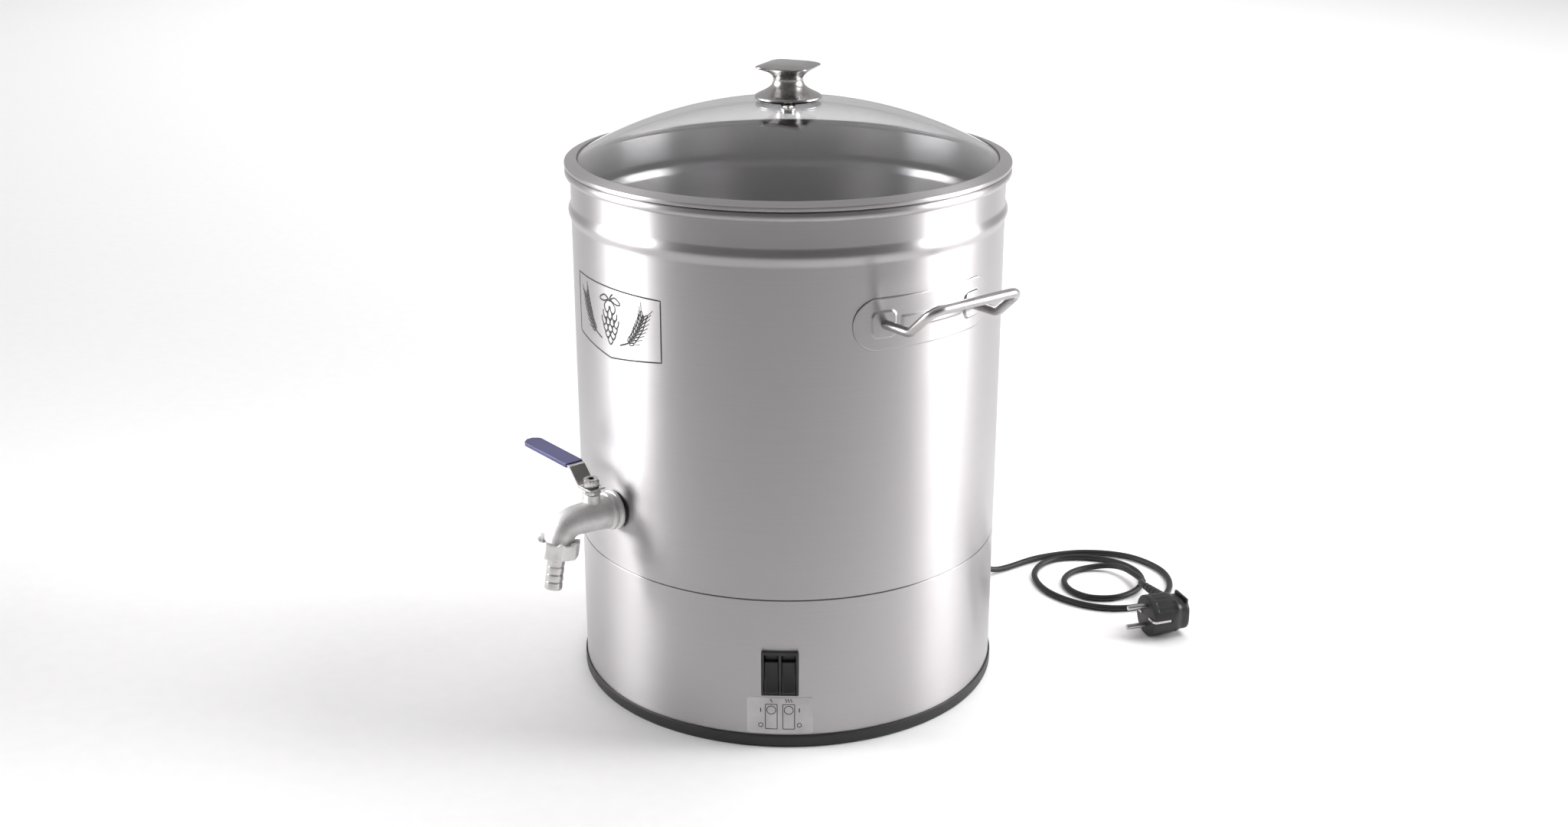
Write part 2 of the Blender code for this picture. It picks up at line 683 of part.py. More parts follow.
def make_tap(kettle, tap, cast, steel, black, vinyl, ptfe):
    wall_r = BODY_R + 0.0014
    bend = math.radians(TAP_BEND_DEG)
    points = [(wall_r + 0.0032, 0), (0.1885, 0), (0.1960, 0), (TAP_STEM_X, 0), (0.2110, 0)]
    radii = [0.0146, 0.0144, 0.0137, 0.0132, 0.0127]
    steps = 7
    for k in range(steps + 1):
        angle = bend * k / steps
        x = TAP_BEND_X + TAP_BEND_R * math.sin(angle)
        points.append((x, -TAP_BEND_R * (1 - math.cos(angle))))
        radii.append(0.0123 - 0.0009 * k / steps)
    ahead = Vector((math.cos(bend), 0, -math.sin(bend)))
    end = Vector((points[-1][0], 0, points[-1][1]))
    tip = end + ahead * 0.0030
    points.append((tip.x, tip.z))
    radii.append(0.0113)
    body = place("tap_body", swept(points, radii, 20), cast, tap)
    flange = [
        (0, wall_r),
        (TAP_FLANGE_R - 0.0006, wall_r),
        (TAP_FLANGE_R, wall_r + 0.0006),
        (TAP_FLANGE_R, wall_r + 0.0024),
        (TAP_FLANGE_R - 0.0008, wall_r + 0.0031),
        (0.0150, wall_r + 0.0036),
        (0.0150, wall_r + 0.0048),
        (0.0158, wall_r + 0.0054),
        (0.0158, wall_r + 0.0082),
        (0.0144, wall_r + 0.0092),
        (0, wall_r + 0.0092),
    ]
    combine(body, "UNION", place("tap_flange", turned(flange, 28, "X"), cast, tap))
    shank = turned(disc(SHANK_R, 0.1660, wall_r + 0.002), 20, "X")
    combine(body, "UNION", place("tap_shank", shank, cast, tap))
    stem = frame("tap_stem_axis", tap, (TAP_STEM_X, 0, 0))
    boss = turned([(0, 0.006), (0.0074, 0.006), (0.0068, 0.0130), (0.0068, 0.0189), (0, 0.0189)], 20)
    combine(body, "UNION", place("tap_boss", boss, cast, stem))
    bore_points = [(0.1640, 0), (0.2000, 0), *points[5:-1], tuple((end + ahead * 0.006).xz)]
    bore = place("cutter_tap_bore", swept(bore_points, [TAP_BORE_R] * len(bore_points), 14), cast, tap)
    chamber = place("cutter_tap_chamber", turned(disc(CHAMBER_R, -0.0105, 0.0105), 20, "X"), cast, stem)
    stem_hole = place("cutter_tap_stem", turned(disc(STEM_R + GAP, 0.0, 0.0200), 14), cast, stem)
    combine(body, "DIFFERENCE", bore, chamber, stem_hole)

    wall_tool = turned(disc(BODY_R + GAP, -0.03, 0.03))
    outside = place("cutter_gasket_outside", wall_tool, black, tap)
    ring = turned(tube(0.0158, SHANK_R + GAP, 0.1782, wall_r - GAP), 28, "X")
    gasket = place("tap_gasket_outer", ring, black, tap)
    combine(gasket, "DIFFERENCE", outside)
    inner_r = BODY_R - SHEET - GAP
    shell = turned(tube(0.200, inner_r, -0.03, 0.03))
    inside = place("cutter_gasket_inside", shell, black, tap)
    ring = turned(tube(0.0155, SHANK_R + GAP, 0.1754, 0.1795), 28, "X")
    gasket = place("tap_gasket_inner", ring, black, tap)
    combine(gasket, "DIFFERENCE", inside)
    nut = prism(polygon(6, 0.0160, 30), 0.1686, 0.1751)
    locknut = place("tap_locknut", nut, steel, tap, (0, 0, 0), (0, math.pi / 2, 0))
    bore = turned(disc(SHANK_R + GAP, 0.16, 0.18), 20, "X")
    combine(locknut, "DIFFERENCE", place("cutter_locknut", bore, steel, tap))

    lever = frame("lever_axis", stem, (0, 0, 0), (0, 0, math.radians(LEVER_AZIMUTH)))
    bm = bmesh.new()
    bmesh.ops.create_uvsphere(bm, u_segments=20, v_segments=12, radius=BALL_R)
    ball = place("tap_ball", bm, steel, lever)
    ball_bore = place("cutter_ball_bore", turned(disc(BALL_BORE_R, -0.012, 0.012), 16, "X"), steel, lever)
    slot = block((-0.0100, -0.0011, 0.0064), (0.0100, 0.0011, 0.0100))
    combine(ball, "DIFFERENCE", ball_bore, place("cutter_ball_slot", slot, steel, lever))
    touch = BALL_R + GAP
    for name, side in (("ball_seat_inlet", -1), ("ball_seat_outlet", 1)):
        outer_r, inner_r = CHAMBER_R - GAP, 0.0056
        near_in = math.sqrt(touch**2 - inner_r**2)
        near_mid = math.sqrt(touch**2 - 0.0072**2)
        seat = [(inner_r, near_in), (0.0072, near_mid), (outer_r, near_mid)]
        seat += [(outer_r, 0.0102), (inner_r, 0.0102)]
        seat = [(radius, side * x) for radius, x in seat]
        place(name, turned(seat, 20, "X"), ptfe, stem)

    spindle = place("tap_stem", turned(disc(STEM_R, 0.0086, 0.0320), 14), steel, lever)
    tang = block((-0.0026, -0.0008, 0.0067), (0.0026, 0.0008, 0.0092))
    combine(spindle, "UNION", place("stem_tang", tang, steel, lever))
    hole_r = STEM_R + GAP
    nut = place("packing_nut", prism(polygon(6, 0.0077), 0.0192, 0.0226), steel, stem)
    combine(nut, "DIFFERENCE", place("cutter_packing", turned(disc(hole_r, 0.01, 0.03), 14), steel, stem))
    place("lever_washer", turned(tube(0.0071, hole_r, 0.0229, 0.0235), 20), steel, lever)

    # The lever's side view: along the lever, then height; flat, a steep rise, and a long flat grip.
    low, rise_start, rise_end, reach = 0.0238, 0.0080, 0.0200, 0.0835
    high, lift = 0.0373, 0.0026
    outline = [
        (-0.0085, low),
        (rise_start, low),
        (rise_end, high),
        (reach, high + lift),
        (reach, high + lift + LEVER_SHEET),
        (rise_end - 0.0007, high + LEVER_SHEET),
        (rise_start - 0.0009, low + LEVER_SHEET),
        (-0.0085, low + LEVER_SHEET),
    ]
    bm = bmesh.new()
    rings = [[bm.verts.new((x, y, z)) for x, z in outline] for y in (-LEVER_HALF, LEVER_HALF)]
    skin(bm, rings, closed=False)
    arm = place("tap_lever", bm, steel, lever)
    combine(arm, "DIFFERENCE", place("cutter_lever", turned(disc(hole_r, 0.02, 0.03), 14), steel, lever))
    tilt = -math.atan2(lift, reach - rise_end)
    grip = frame("lever_grip", lever, (rise_end, 0, high + LEVER_SHEET / 2), (0, tilt, 0))
    grip_half, grip_thick = 0.0083, 0.0017
    nose = [(0.0670, -0.0040), (0.0670, 0.0040)]
    outline = [(0.0030, grip_half), (0.0030, -grip_half), (0.0600, -grip_half), (0.0650, -0.0068), *nose]
    outline += [(0.0650, 0.0068), (0.0600, grip_half)]
    sleeve = place("lever_sleeve", prism(outline, -grip_thick, grip_thick), vinyl, grip)
    bevel = sleeve.modifiers.new("round edges", "BEVEL")
    bevel.width = 0.0009
    bevel.segments = 2
    half_w, half_h = LEVER_HALF + GAP, LEVER_SHEET / 2 + GAP
    inside = block((-0.01, -half_w, -half_h), (0.0645, half_w, half_h))
    combine(sleeve, "DIFFERENCE", place("cutter_sleeve", inside, vinyl, grip))
    nut_low = low + LEVER_SHEET + GAP
    nut = place("lever_nut", prism(polygon(6, 0.0071, 30), nut_low, nut_low + 0.0066), steel, lever)
    combine(nut, "DIFFERENCE", place("cutter_lever_nut", turned(disc(hole_r, 0.02, 0.035), 14), steel, lever))

    # The outlet's frame: its origin at the end of the bend, +Z back up the pipe.
    outlet = frame("outlet_axis", tap, end, (0, -(math.pi / 2 - bend), 0))
    washer_top = -0.0033
    place("outlet_washer", turned(tube(0.0108, 0.0060, washer_top - 0.0017, washer_top), 20), black, outlet)
    top = washer_top - 0.0020
    tail = [(HOSE_TAIL_BORE_R, top), (0.0108, top), (0.0108, top - 0.0022), (0.0064, top - 0.0022)]
    tail.append((0.0064, -0.0150))
    barb = 0.0076
    for number in range(3):
        head = -0.0165 - barb * number
        tail += [(HOSE_TAIL_R, head), (0.0063, head - barb + 0.0006)]
    tail += [(0.0066, -HOSE_TAIL_END + 0.0010), (0.0060, -HOSE_TAIL_END), (HOSE_TAIL_BORE_R, -HOSE_TAIL_END)]
    place("hose_tail", turned(tail, 20), steel, outlet)
    nut = place("union_nut", prism(polygon(8, NUT_R, 22.5), -0.0110, 0.0020), cast, outlet)
    crown = place("nut_crown", prism(polygon(8, NUT_R - 0.0006, 0), 0.0012, 0.0036), cast, outlet)
    combine(nut, "UNION", crown)
    hollow = [(0, -0.02), (0.0068, -0.02), (0.0068, -0.0082), (0.0114, -0.0078), (0.0122, 0.0)]
    hollow += [(0.0134, 0.0050), (0, 0.0050)]
    combine(nut, "DIFFERENCE", place("cutter_union", turned(hollow, 20), cast, outlet))


def make_lead(kettle, gland, black, rubber, nickel):
    flange = turned([(0, 0.1803), (0.0090, 0.1803), (0.0090, 0.1838), (0, 0.1838)], 6, "X")
    nose = turned([(0, 0.1832), (0.0080, 0.1832), (0.0080, 0.1880), (0.0060, 0.1920), (0, 0.1920)], 20, "X")
    thread = turned(disc(0.0057, 0.1700, 0.1820), 16, "X")
    body = place("cord_gland", flange, black, gland)
    nose_part = place("gland_nose", nose, black, gland)
    combine(body, "UNION", nose_part, place("gland_thread", thread, black, gland))
    hexagon = prism(polygon(6, 0.0090), 0.1739, 0.1779)
    nut = place("gland_locknut", hexagon, black, gland, (0, 0, 0), (0, math.pi / 2, 0))
    bore = turned(disc(0.0060, 0.17, 0.18), 16, "X")
    combine(nut, "DIFFERENCE", place("cutter_gland_nut", bore, black, gland))
    start, stop = RELIEF_X
    relief = turned([(0, start), (0.0052, start), (0.0036, stop), (0, stop)], 16, "X")
    place("strain_relief", relief, rubber, gland)

    plug = frame("plug_frame", kettle, PLUG_FACE, (0, 0, math.radians(PLUG_HEADING_DEG)))
    profile = [
        (0, 0),
        (PLUG_R - 0.0018, 0),
        (PLUG_R, 0.0018),
        (PLUG_R, 0.0180),
        (0.0172, 0.0260),
        (0.0160, PLUG_LENGTH - 0.0045),
        (0.0130, PLUG_LENGTH),
        (0, PLUG_LENGTH),
    ]
    body = place("plug_body", turned(profile, 28, "X"), black, plug)
    low, high = BOOT_Y
    neck = turned([(0, 0.0040), (0.0070, 0.0040), (0.0066, low - GAP), (0, low - GAP)], 16)
    turn = (-math.pi / 2, 0, 0)
    combine(body, "UNION", place("plug_neck", neck, black, plug, (BOOT_X, 0, BOOT_RISE), turn))
    for name, side in (("upper", 1), ("lower", -1)):
        at = (0, 0, side * PIN_PITCH / 2)
        socket = turned(disc(PIN_R + GAP, -0.002, 0.0060), 12, "X")
        combine(body, "DIFFERENCE", place(f"cutter_pin_{name}", socket, black, plug, at))
        pin = [(0, 0.0055), (PIN_R, 0.0055), (PIN_R, -PIN_LENGTH + 0.0010)]
        pin += [(0.0015, -PIN_LENGTH), (0, -PIN_LENGTH)]
        place(f"plug_pin_{name}", turned(pin, 12, "X"), nickel, plug, at)
    for name, side in (("front", -1), ("back", 1)):
        face_y = side * PLUG_R
        groove = [sorted((face_y - side * 0.0022, face_y + side * 0.0050)), (-0.0050, 0.0180)]
        tool = block((groove[1][0], groove[0][0], -0.0030), (groove[1][1], groove[0][1], 0.0030))
        combine(body, "DIFFERENCE", place(f"cutter_clip_{name}", tool, black, plug))
        near, far = sorted((face_y - side * 0.0019, face_y - side * 0.0009))
        place(f"earth_clip_{name}", block((0.0002, near, -0.0022), (0.0170, far, 0.0022)), nickel, plug)
    boot = turned([(0, 0), (0.0058, 0), (0.0036, high - low), (0, high - low)], 16)
    droop = math.radians(90 + BOOT_DROOP_DEG)
    boot_start = Vector((BOOT_X, low + GAP, BOOT_RISE))
    place("plug_boot", boot, rubber, plug, boot_start, (-droop, 0, 0))

    bpy.context.view_layer.update()
    along_boot = Matrix.Rotation(-droop, 3, "X") @ Vector((0, 0, 1))
    ends = []
    for past in (0.0100, GAP):
        ends.append(plug.matrix_world @ (boot_start + (high - low + past) * along_boot))
    first = (0, RELIEF_X[1] + GAP, GLAND_Z)
    route = smooth_route([*CORD_ROUTE, ends[0]], CORD_SPACING)
    wire("power_cord", [first, *route, ends[1]], CORD_R, rubber, kettle)


def make_lid(kettle, glass, steel, polished, silicone):
    centre_z = DOME_TOP_Z - DOME_R
    lid = frame("lid_frame", kettle)

    def dome(radius, sphere_r):
        """Height of a sphere about the dome's centre at a radius."""
        return centre_z + math.sqrt(sphere_r**2 - radius**2)

    steps = 6
    radii = [0.0040 + (GLASS_EDGE_R - 0.0040) * (k / steps) ** 0.8 for k in range(steps + 1)]
    top = [(radius, dome(radius, DOME_R)) for radius in radii]
    under = [(radius, dome(radius, DOME_R - GLASS)) for radius in reversed(radii)]
    pane = place("lid_glass", turned(top + under), glass, lid)
    slope = math.asin(VENT_RADIUS / DOME_R)
    at = outward(VENT_AZIMUTH, VENT_RADIUS, dome(VENT_RADIUS, DOME_R))
    spin = math.radians(VENT_AZIMUTH - 90)
    vent = frame("vent_place", lid, at, (0, slope, spin))
    combine(pane, "DIFFERENCE", place("cutter_vent", turned(disc(0.0056, -0.010, 0.010), 20), glass, vent))
    eyelet = [(0.0042, -0.0050), (0.0052, -0.0050), (0.0052, 0.0003), (0.0062, 0.0003), (0.0062, 0.0008)]
    eyelet += [(0.0055, 0.0016), (0.0046, 0.0016), (0.0042, 0.0010)]
    place("lid_vent_eyelet", turned(eyelet, 20), polished, vent)

    lip_top = dome(0.1725, DOME_R) + GAP
    lip_under = dome(0.1725, DOME_R - GLASS) - GAP
    edge_top = dome(GLASS_EDGE_R, DOME_R) + GAP
    edge_under = dome(GLASS_EDGE_R, DOME_R - GLASS) - GAP
    band = [
        (0.1725, lip_top),
        (0.1730, lip_top + 0.0008),
        (0.1800, lip_top - 0.0010),
        (BAND_R, BAND_Z + 0.0036),
        (BAND_R, BAND_Z + 0.0010),
        (BAND_R - 0.0010, BAND_Z),
        (0.1780, BAND_Z),
        (0.1768, BAND_Z - 0.0030),
        (0.1725, lip_under - 0.0010),
        (0.1725, lip_under),
        (GLASS_EDGE_R + GAP, edge_under),
        (GLASS_EDGE_R + GAP, edge_top),
    ]
    place("lid_rim_band", turned(band), steel, lid)

    seal_r = 0.0230
    seal = [(0.0040, KNOB_Z - GAP), (seal_r, KNOB_Z - GAP)]
    seal += [(radius, dome(radius, DOME_R) + GAP) for radius in (seal_r, 0.0150, 0.0040)]
    place("knob_seal", turned(seal, 28), silicone, lid)
    make_knob(lid, polished)
    pane_under = dome(0.0100, DOME_R - GLASS) - GAP
    screw = [
        (0, pane_under - 0.0038),
        (0.0050, pane_under - 0.0038),
        (0.0070, pane_under - 0.0016),
        (0.0100, pane_under - 0.0010),
        (0.0100, pane_under),
        (0.0028, pane_under),
        (0.0028, KNOB_Z + 0.0120),
        (0, KNOB_Z + 0.0120),
    ]
    place("knob_screw", turned(screw, 20), steel, lid)


def make_knob(lid, polished):
    """A round flange and a waisted neck that open into a softly domed square top."""
    rounds = (
        (0.0258, 0.0),
        (KNOB_FLANGE_R, 0.0006),
        (KNOB_FLANGE_R, 0.0018),
        (0.0250, 0.0036),
        (0.0190, 0.0066),
        (0.0145, 0.0098),
        (0.0126, 0.0130),
        (0.0126, 0.0168),
        (0.0138, 0.0190),
    )
    squares = (
        (0.0170, 0.0214, 0.9),
        (KNOB_TOP_HALF - 0.0010, 0.0241, 0.15),
        (KNOB_TOP_HALF, 0.0256, 0.0),
        (KNOB_TOP_HALF - 0.0010, 0.0266, 0.0),
        (0.0160, 0.0286, 0.0),
        (0.0080, KNOB_H - 0.0002, 0.3),
    )
    steps = 6
    around = 4 * (steps + 1)
    square = rounded_square(KNOB_TOP_HALF, KNOB_TOP_HALF, KNOB_TOP_CORNER, steps)
    bm = bmesh.new()
    rings = [[bm.verts.new((0, 0, 0))]]
    for radius, height in rounds:
        circle = polygon(around, radius, 90 / (steps + 1) / 2)
        rings.append([bm.verts.new((x, y, height)) for x, y in circle])
    for half, height, roundness in squares:
        circle = polygon(around, half, 90 / (steps + 1) / 2)
        ring = []
        for (cx, cy), (sx, sy) in zip(circle, square):
            share = half / KNOB_TOP_HALF
            x = roundness * cx + (1 - roundness) * sx * share
            y = roundness * cy + (1 - roundness) * sy * share
            ring.append(bm.verts.new((x, y, height)))
        rings.append(ring)
    rings.append([bm.verts.new((0, 0, KNOB_H))])
    skin(bm, rings)
    at = (0, 0, KNOB_Z)
    knob = place("lid_knob", bm, polished, lid, at, (0, 0, math.radians(KNOB_TURN_DEG)))
    bore = turned(disc(0.0031, -0.01, 0.0140), 14)
    combine(knob, "DIFFERENCE", place("cutter_knob", bore, polished, lid, at))


def main():
    clear_scene()
    steel = finish("brushed steel", (0.60, 0.58, 0.57), 0.32, 1.0)
    polished = finish("satin knob steel", (0.42, 0.41, 0.40), 0.22, 1.0)
    cast = finish("cast steel", (0.55, 0.54, 0.53), 0.45, 1.0)
    zinc = finish("zinc plate", (0.62, 0.62, 0.60), 0.40, 1.0)
    aluminium = finish("aluminium", (0.75, 0.75, 0.76), 0.45, 1.0)
    element = finish("element sheath", (0.25, 0.22, 0.20), 0.50, 1.0)
    copper = finish("copper", (0.75, 0.42, 0.28), 0.35, 1.0)
    nickel = finish("nickel plate", (0.66, 0.64, 0.60), 0.25, 1.0)
    glass = finish("lid glass", (0.80, 0.82, 0.82), 0.05, 0.0)
    glass.node_tree.nodes["Principled BSDF"].inputs["Transmission Weight"].default_value = 0.9
    black = finish("black plastic", (0.020, 0.020, 0.022), 0.45, 0.0)
    rubber = finish("black rubber", (0.025, 0.025, 0.025), 0.65, 0.0)
    vinyl = finish("blue vinyl", (0.12, 0.12, 0.34), 0.40, 0.0)
    ptfe = finish("ptfe", (0.85, 0.85, 0.83), 0.50, 0.0)
    ceramic = finish("ceramic", (0.80, 0.76, 0.68), 0.60, 0.0)
    plastic = finish("white nylon", (0.80, 0.80, 0.76), 0.50, 0.0)
    silicone = finish("clear silicone", (0.60, 0.60, 0.60), 0.40, 0.0)
    film = finish("label film", (0.70, 0.70, 0.69), 0.35, 0.6)
    red = finish("red wire", (0.55, 0.05, 0.04), 0.50, 0.0)
    brown = finish("brown wire", (0.22, 0.10, 0.05), 0.50, 0.0)
    green = finish("green wire", (0.10, 0.40, 0.12), 0.50, 0.0)

    kettle = frame("kettle")
    tap = wall_frame("tap_frame", 0.0, TAP_Z, kettle)
    switch = wall_frame("switch_frame", SWITCH_AZIMUTH, SWITCH_Z, kettle)
    gland = wall_frame("gland_frame", GLAND_AZIMUTH, GLAND_Z, kettle)
    heating = wall_frame("heating_frame", ELEMENT_AZIMUTH, 0.0, kettle)

    make_vessel(kettle, tap, steel)
    make_base(kettle, switch, gland, steel, rubber, zinc)
    make_heating(kettle, heating, aluminium, element, zinc, ceramic, copper, plastic)
    make_inner_wires(kettle, switch, red, brown, green)
    make_switch(kettle, switch, black, film)
    make_handles(kettle, steel)
    make_tap(kettle, tap, cast, steel, black, vinyl, ptfe)
    make_lead(kettle, gland, black, rubber, nickel)
    make_lid(kettle, glass, steel, polished, silicone)


main()
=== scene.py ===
"""Looks of the electric brew kettle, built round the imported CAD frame.

Metres, +Z up, in the CAD's own frame: the origin is on the kettle's axis on the surface it stands on, the
tap points along -Y, the handles stand at +X and -X, and the lead leaves at +Y. An azimuth is measured from
-Y towards +X. Every mesh is built in that frame, so its object stays at the origin.
"""

import json
import math

import bmesh
import bpy
from mathutils import Matrix, Vector


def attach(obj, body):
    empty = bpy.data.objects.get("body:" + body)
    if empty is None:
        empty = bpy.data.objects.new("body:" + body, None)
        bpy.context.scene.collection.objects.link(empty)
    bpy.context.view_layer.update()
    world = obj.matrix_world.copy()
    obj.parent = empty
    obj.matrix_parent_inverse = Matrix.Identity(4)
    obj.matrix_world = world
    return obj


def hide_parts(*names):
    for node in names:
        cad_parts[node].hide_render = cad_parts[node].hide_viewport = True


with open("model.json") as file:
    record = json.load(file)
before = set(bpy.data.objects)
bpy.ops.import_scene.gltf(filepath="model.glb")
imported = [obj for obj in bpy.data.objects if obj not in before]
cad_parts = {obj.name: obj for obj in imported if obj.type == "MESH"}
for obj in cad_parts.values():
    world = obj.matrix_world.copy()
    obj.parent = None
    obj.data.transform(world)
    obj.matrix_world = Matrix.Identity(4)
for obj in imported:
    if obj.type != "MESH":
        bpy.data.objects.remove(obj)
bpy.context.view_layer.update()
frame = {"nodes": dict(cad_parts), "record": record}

FINE = 192  # facets round a large turned piece
SMALL = 64  # facets round a small one
VIEW_AZIMUTH = 51.5  # the side that the camera looks from

# ---- The kettle's own sizes, as in the CAD ----------------------------------------------------------
GAP = 0.0003  # between pieces that touch
BODY_R = 0.1800
SHEET = 0.0012
SEAM_Z = 0.1310  # joint between the vessel and the skirt
RIM_Z = 0.4436  # middle of the rolled rim
RIM_HALF = (0.0029, 0.00365)  # half width and half height of the rolled rim
RIDGE_Z = (0.4035, 0.4195)
RIDGE_DEPTH = 0.0023
FLOOR_Z = 0.1370
RING_R = 0.1816
RING_H = 0.01075
SWITCH_AZIMUTH = 49.5
SWITCH_Z = 0.0664
ROCKER_X = 0.0070  # each rocker's and slider's distance from the switch's middle
LABEL_Z = 0.02855
LABEL_HALF = (0.0270, 0.01625)
EMBLEM_Z = 0.3440
EMBLEM_HALF = (0.0580, 0.0262)
HANDLE_Z = 0.3564
HANDLE_PLATE = (0.1430, 0.0418, 0.0010)  # long, high, thick
HANDLE_HALF = 0.0455  # each leg's distance from the handle's middle
HANDLE_ROOT = 0.1757
HANDLE_REACH = (0.2045, 0.2289)  # axis to the elbow, and axis to the grip
HANDLE_RISE = 0.0222
HANDLE_ROD_R = 0.0038
HANDLE_BEND_R = 0.0110
DOME_TOP_Z = 0.4984
DOME_R = 0.3570
GLASS = 0.0040
GLASS_EDGE_R = 0.1755
VENT_X = 0.0352  # the vent's distance from the axis
BAND_R = 0.1846
BAND_Z = 0.4478
KNOB_Z = 0.4996
TAP_Z = 0.1823
TAP_HOLE_R = 0.0106
TAP_STEM_X = 0.2028
TAP_BEND_X = 0.2185
TAP_BEND_R = 0.0180
TAP_BEND_DEG = 80.4
LEVER_AZIMUTH = -87.0
LEVER_SHEET = 0.0015
NUT_R = 0.0182  # union nut, from its axis to a corner
GLAND_Z = 0.0220
CORD_R = 0.0028
PLUG_FACE = (0.1820, 0.2750, 0.0187)
PLUG_HEADING_DEG = 68.3  # from the plug's face towards its back
PLUG_LENGTH = 0.0375
PIN_R = 0.0024
PIN_LENGTH = 0.0190
PIN_PITCH = 0.0190
BOOT_LENGTH = 0.0410

CORD_EXIT = (0.0, 0.2148, 0.0220)
# The lead's route: down from the gland, two loops on the floor, and up into the plug's boot.
CORD_DROP = (
    (0.0000, 0.2200, 0.0220), (0.0000, 0.2290, 0.0202), (0.0002, 0.2420, 0.0130),
    (0.0008, 0.2580, 0.0052),
)
CORD_ON_FLOOR = (
    (0.0020, 0.2760), (0.0050, 0.3180), (0.0230, 0.3610), (0.0570, 0.3890), (0.0970, 0.3910),
    (0.1270, 0.3730), (0.1440, 0.3430), (0.1440, 0.3110), (0.1270, 0.2840), (0.0990, 0.2690),
    (0.0650, 0.2670), (0.0350, 0.2810), (0.0190, 0.3040), (0.0180, 0.3300), (0.0330, 0.3540),
    (0.0580, 0.3690), (0.0840, 0.3700), (0.1060, 0.3570), (0.1175, 0.3340), (0.1165, 0.3080),
    (0.1010, 0.2890), (0.0790, 0.2860), (0.0590, 0.2970), (0.0500, 0.3170),
)
CORD_RISE = (
    (0.0530, 0.3380, 0.0034), (0.0660, 0.3530, 0.0058), (0.0830, 0.3550, 0.0086),
    (0.1010, 0.3500, 0.0102), (0.1200, 0.3412, 0.0124),
)


# ---- Camera -----------------------------------------------------------------------------------------
def set_camera():
    lens = bpy.data.cameras.new("camera")
    lens.lens = 43.75
    lens.sensor_width = 36.0
    lens.clip_start = 0.01
    camera = bpy.data.objects.new("camera", lens)
    camera.location = (1.2182, -0.9690, 0.7802)
    camera.rotation_euler = (math.radians(70.373), 0, math.radians(51.626))
    bpy.context.scene.collection.objects.link(camera)
    bpy.context.scene.camera = camera


# ---- Materials --------------------------------------------------------------------------------------
class Nodes:
    """A material's node tree, with short calls for the nodes used here."""

    def __init__(self, name, colour, roughness, metallic, **sockets):
        self.made = bpy.data.materials.new(name)
        self.made.use_nodes = True
        self.tree = self.made.node_tree
        self.shader = self.tree.nodes["Principled BSDF"]
        self.shader.inputs["Base Color"].default_value = (*colour, 1.0)
        self.shader.inputs["Roughness"].default_value = roughness
        self.shader.inputs["Metallic"].default_value = metallic
        for socket, value in sockets.items():
            self.shader.inputs[socket.replace("_", " ")].default_value = value
        self.made.diffuse_color = (*colour, 1.0)
        self.coordinates = self.tree.nodes.new("ShaderNodeTexCoord").outputs["Object"]

    def join(self, source, target):
        self.tree.links.new(source, target)

    def noise(self, scale, detail=4.0, roughness=0.55, stretch=(1, 1, 1)):
        mapping = self.tree.nodes.new("ShaderNodeMapping")
        mapping.inputs["Scale"].default_value = stretch
        self.join(self.coordinates, mapping.inputs["Vector"])
        node = self.tree.nodes.new("ShaderNodeTexNoise")
        node.inputs["Scale"].default_value = scale
        node.inputs["Detail"].default_value = detail
        node.inputs["Roughness"].default_value = roughness
        self.join(mapping.outputs["Vector"], node.inputs["Vector"])
        return node.outputs["Fac"]

    def cells(self, scale):
        node = self.tree.nodes.new("ShaderNodeTexVoronoi")
        node.inputs["Scale"].default_value = scale
        self.join(self.coordinates, node.inputs["Vector"])
        return node.outputs["Distance"]

    def spread(self, source, low, high, start=0.3, stop=0.7):
        """source between start and stop, mapped to low and high."""
        node = self.tree.nodes.new("ShaderNodeMapRange")
        values = (start, stop, low, high)
        for socket, value in zip(("From Min", "From Max", "To Min", "To Max"), values):
            node.inputs[socket].default_value = value
        self.join(source, node.inputs["Value"])
        return node.outputs["Result"]

    def add(self, first, second):
        node = self.tree.nodes.new("ShaderNodeMath")
        node.operation = "ADD"
        for socket, value in zip(node.inputs, (first, second)):
            if isinstance(value, (int, float)):
                socket.default_value = value
            else:
                self.join(value, socket)
        return node.outputs["Value"]

    def colour(self, source, low, high, start=0.3, stop=0.7):
        """The base colour goes from low to high as source goes from start to stop."""
        node = self.tree.nodes.new("ShaderNodeValToRGB")
        node.color_ramp.elements[0].position = start
        node.color_ramp.elements[0].color = (*low, 1.0)
        node.color_ramp.elements[1].position = stop
        node.color_ramp.elements[1].color = (*high, 1.0)
        self.join(source, node.inputs["Fac"])
        self.join(node.outputs["Color"], self.shader.inputs["Base Color"])

    def rough(self, source):
        self.join(source, self.shader.inputs["Roughness"])

    def bump(self, source, distance, strength=1.0, under=None):
        node = self.tree.nodes.new("ShaderNodeBump")
        node.inputs["Strength"].default_value = strength
        node.inputs["Distance"].default_value = distance
        self.join(source, node.inputs["Height"])
        if under is not None:
            self.join(under, node.inputs["Normal"])
        self.join(node.outputs["Normal"], self.shader.inputs["Normal"])
        return node.outputs["Normal"]

    def round_tangent(self):
        """Brush lines run round the kettle's axis."""
        node = self.tree.nodes.new("ShaderNodeTangent")
        node.direction_type = "RADIAL"
        node.axis = "Z"
        self.join(node.outputs["Tangent"], self.shader.inputs["Tangent"])

    def edges(self):
        """High on convex edges, where a surface is rubbed."""
        node = self.tree.nodes.new("ShaderNodeNewGeometry")
        return node.outputs["Pointiness"]


def scaled(colour, by):
    return tuple(min(channel * by, 1.0) for channel in colour)


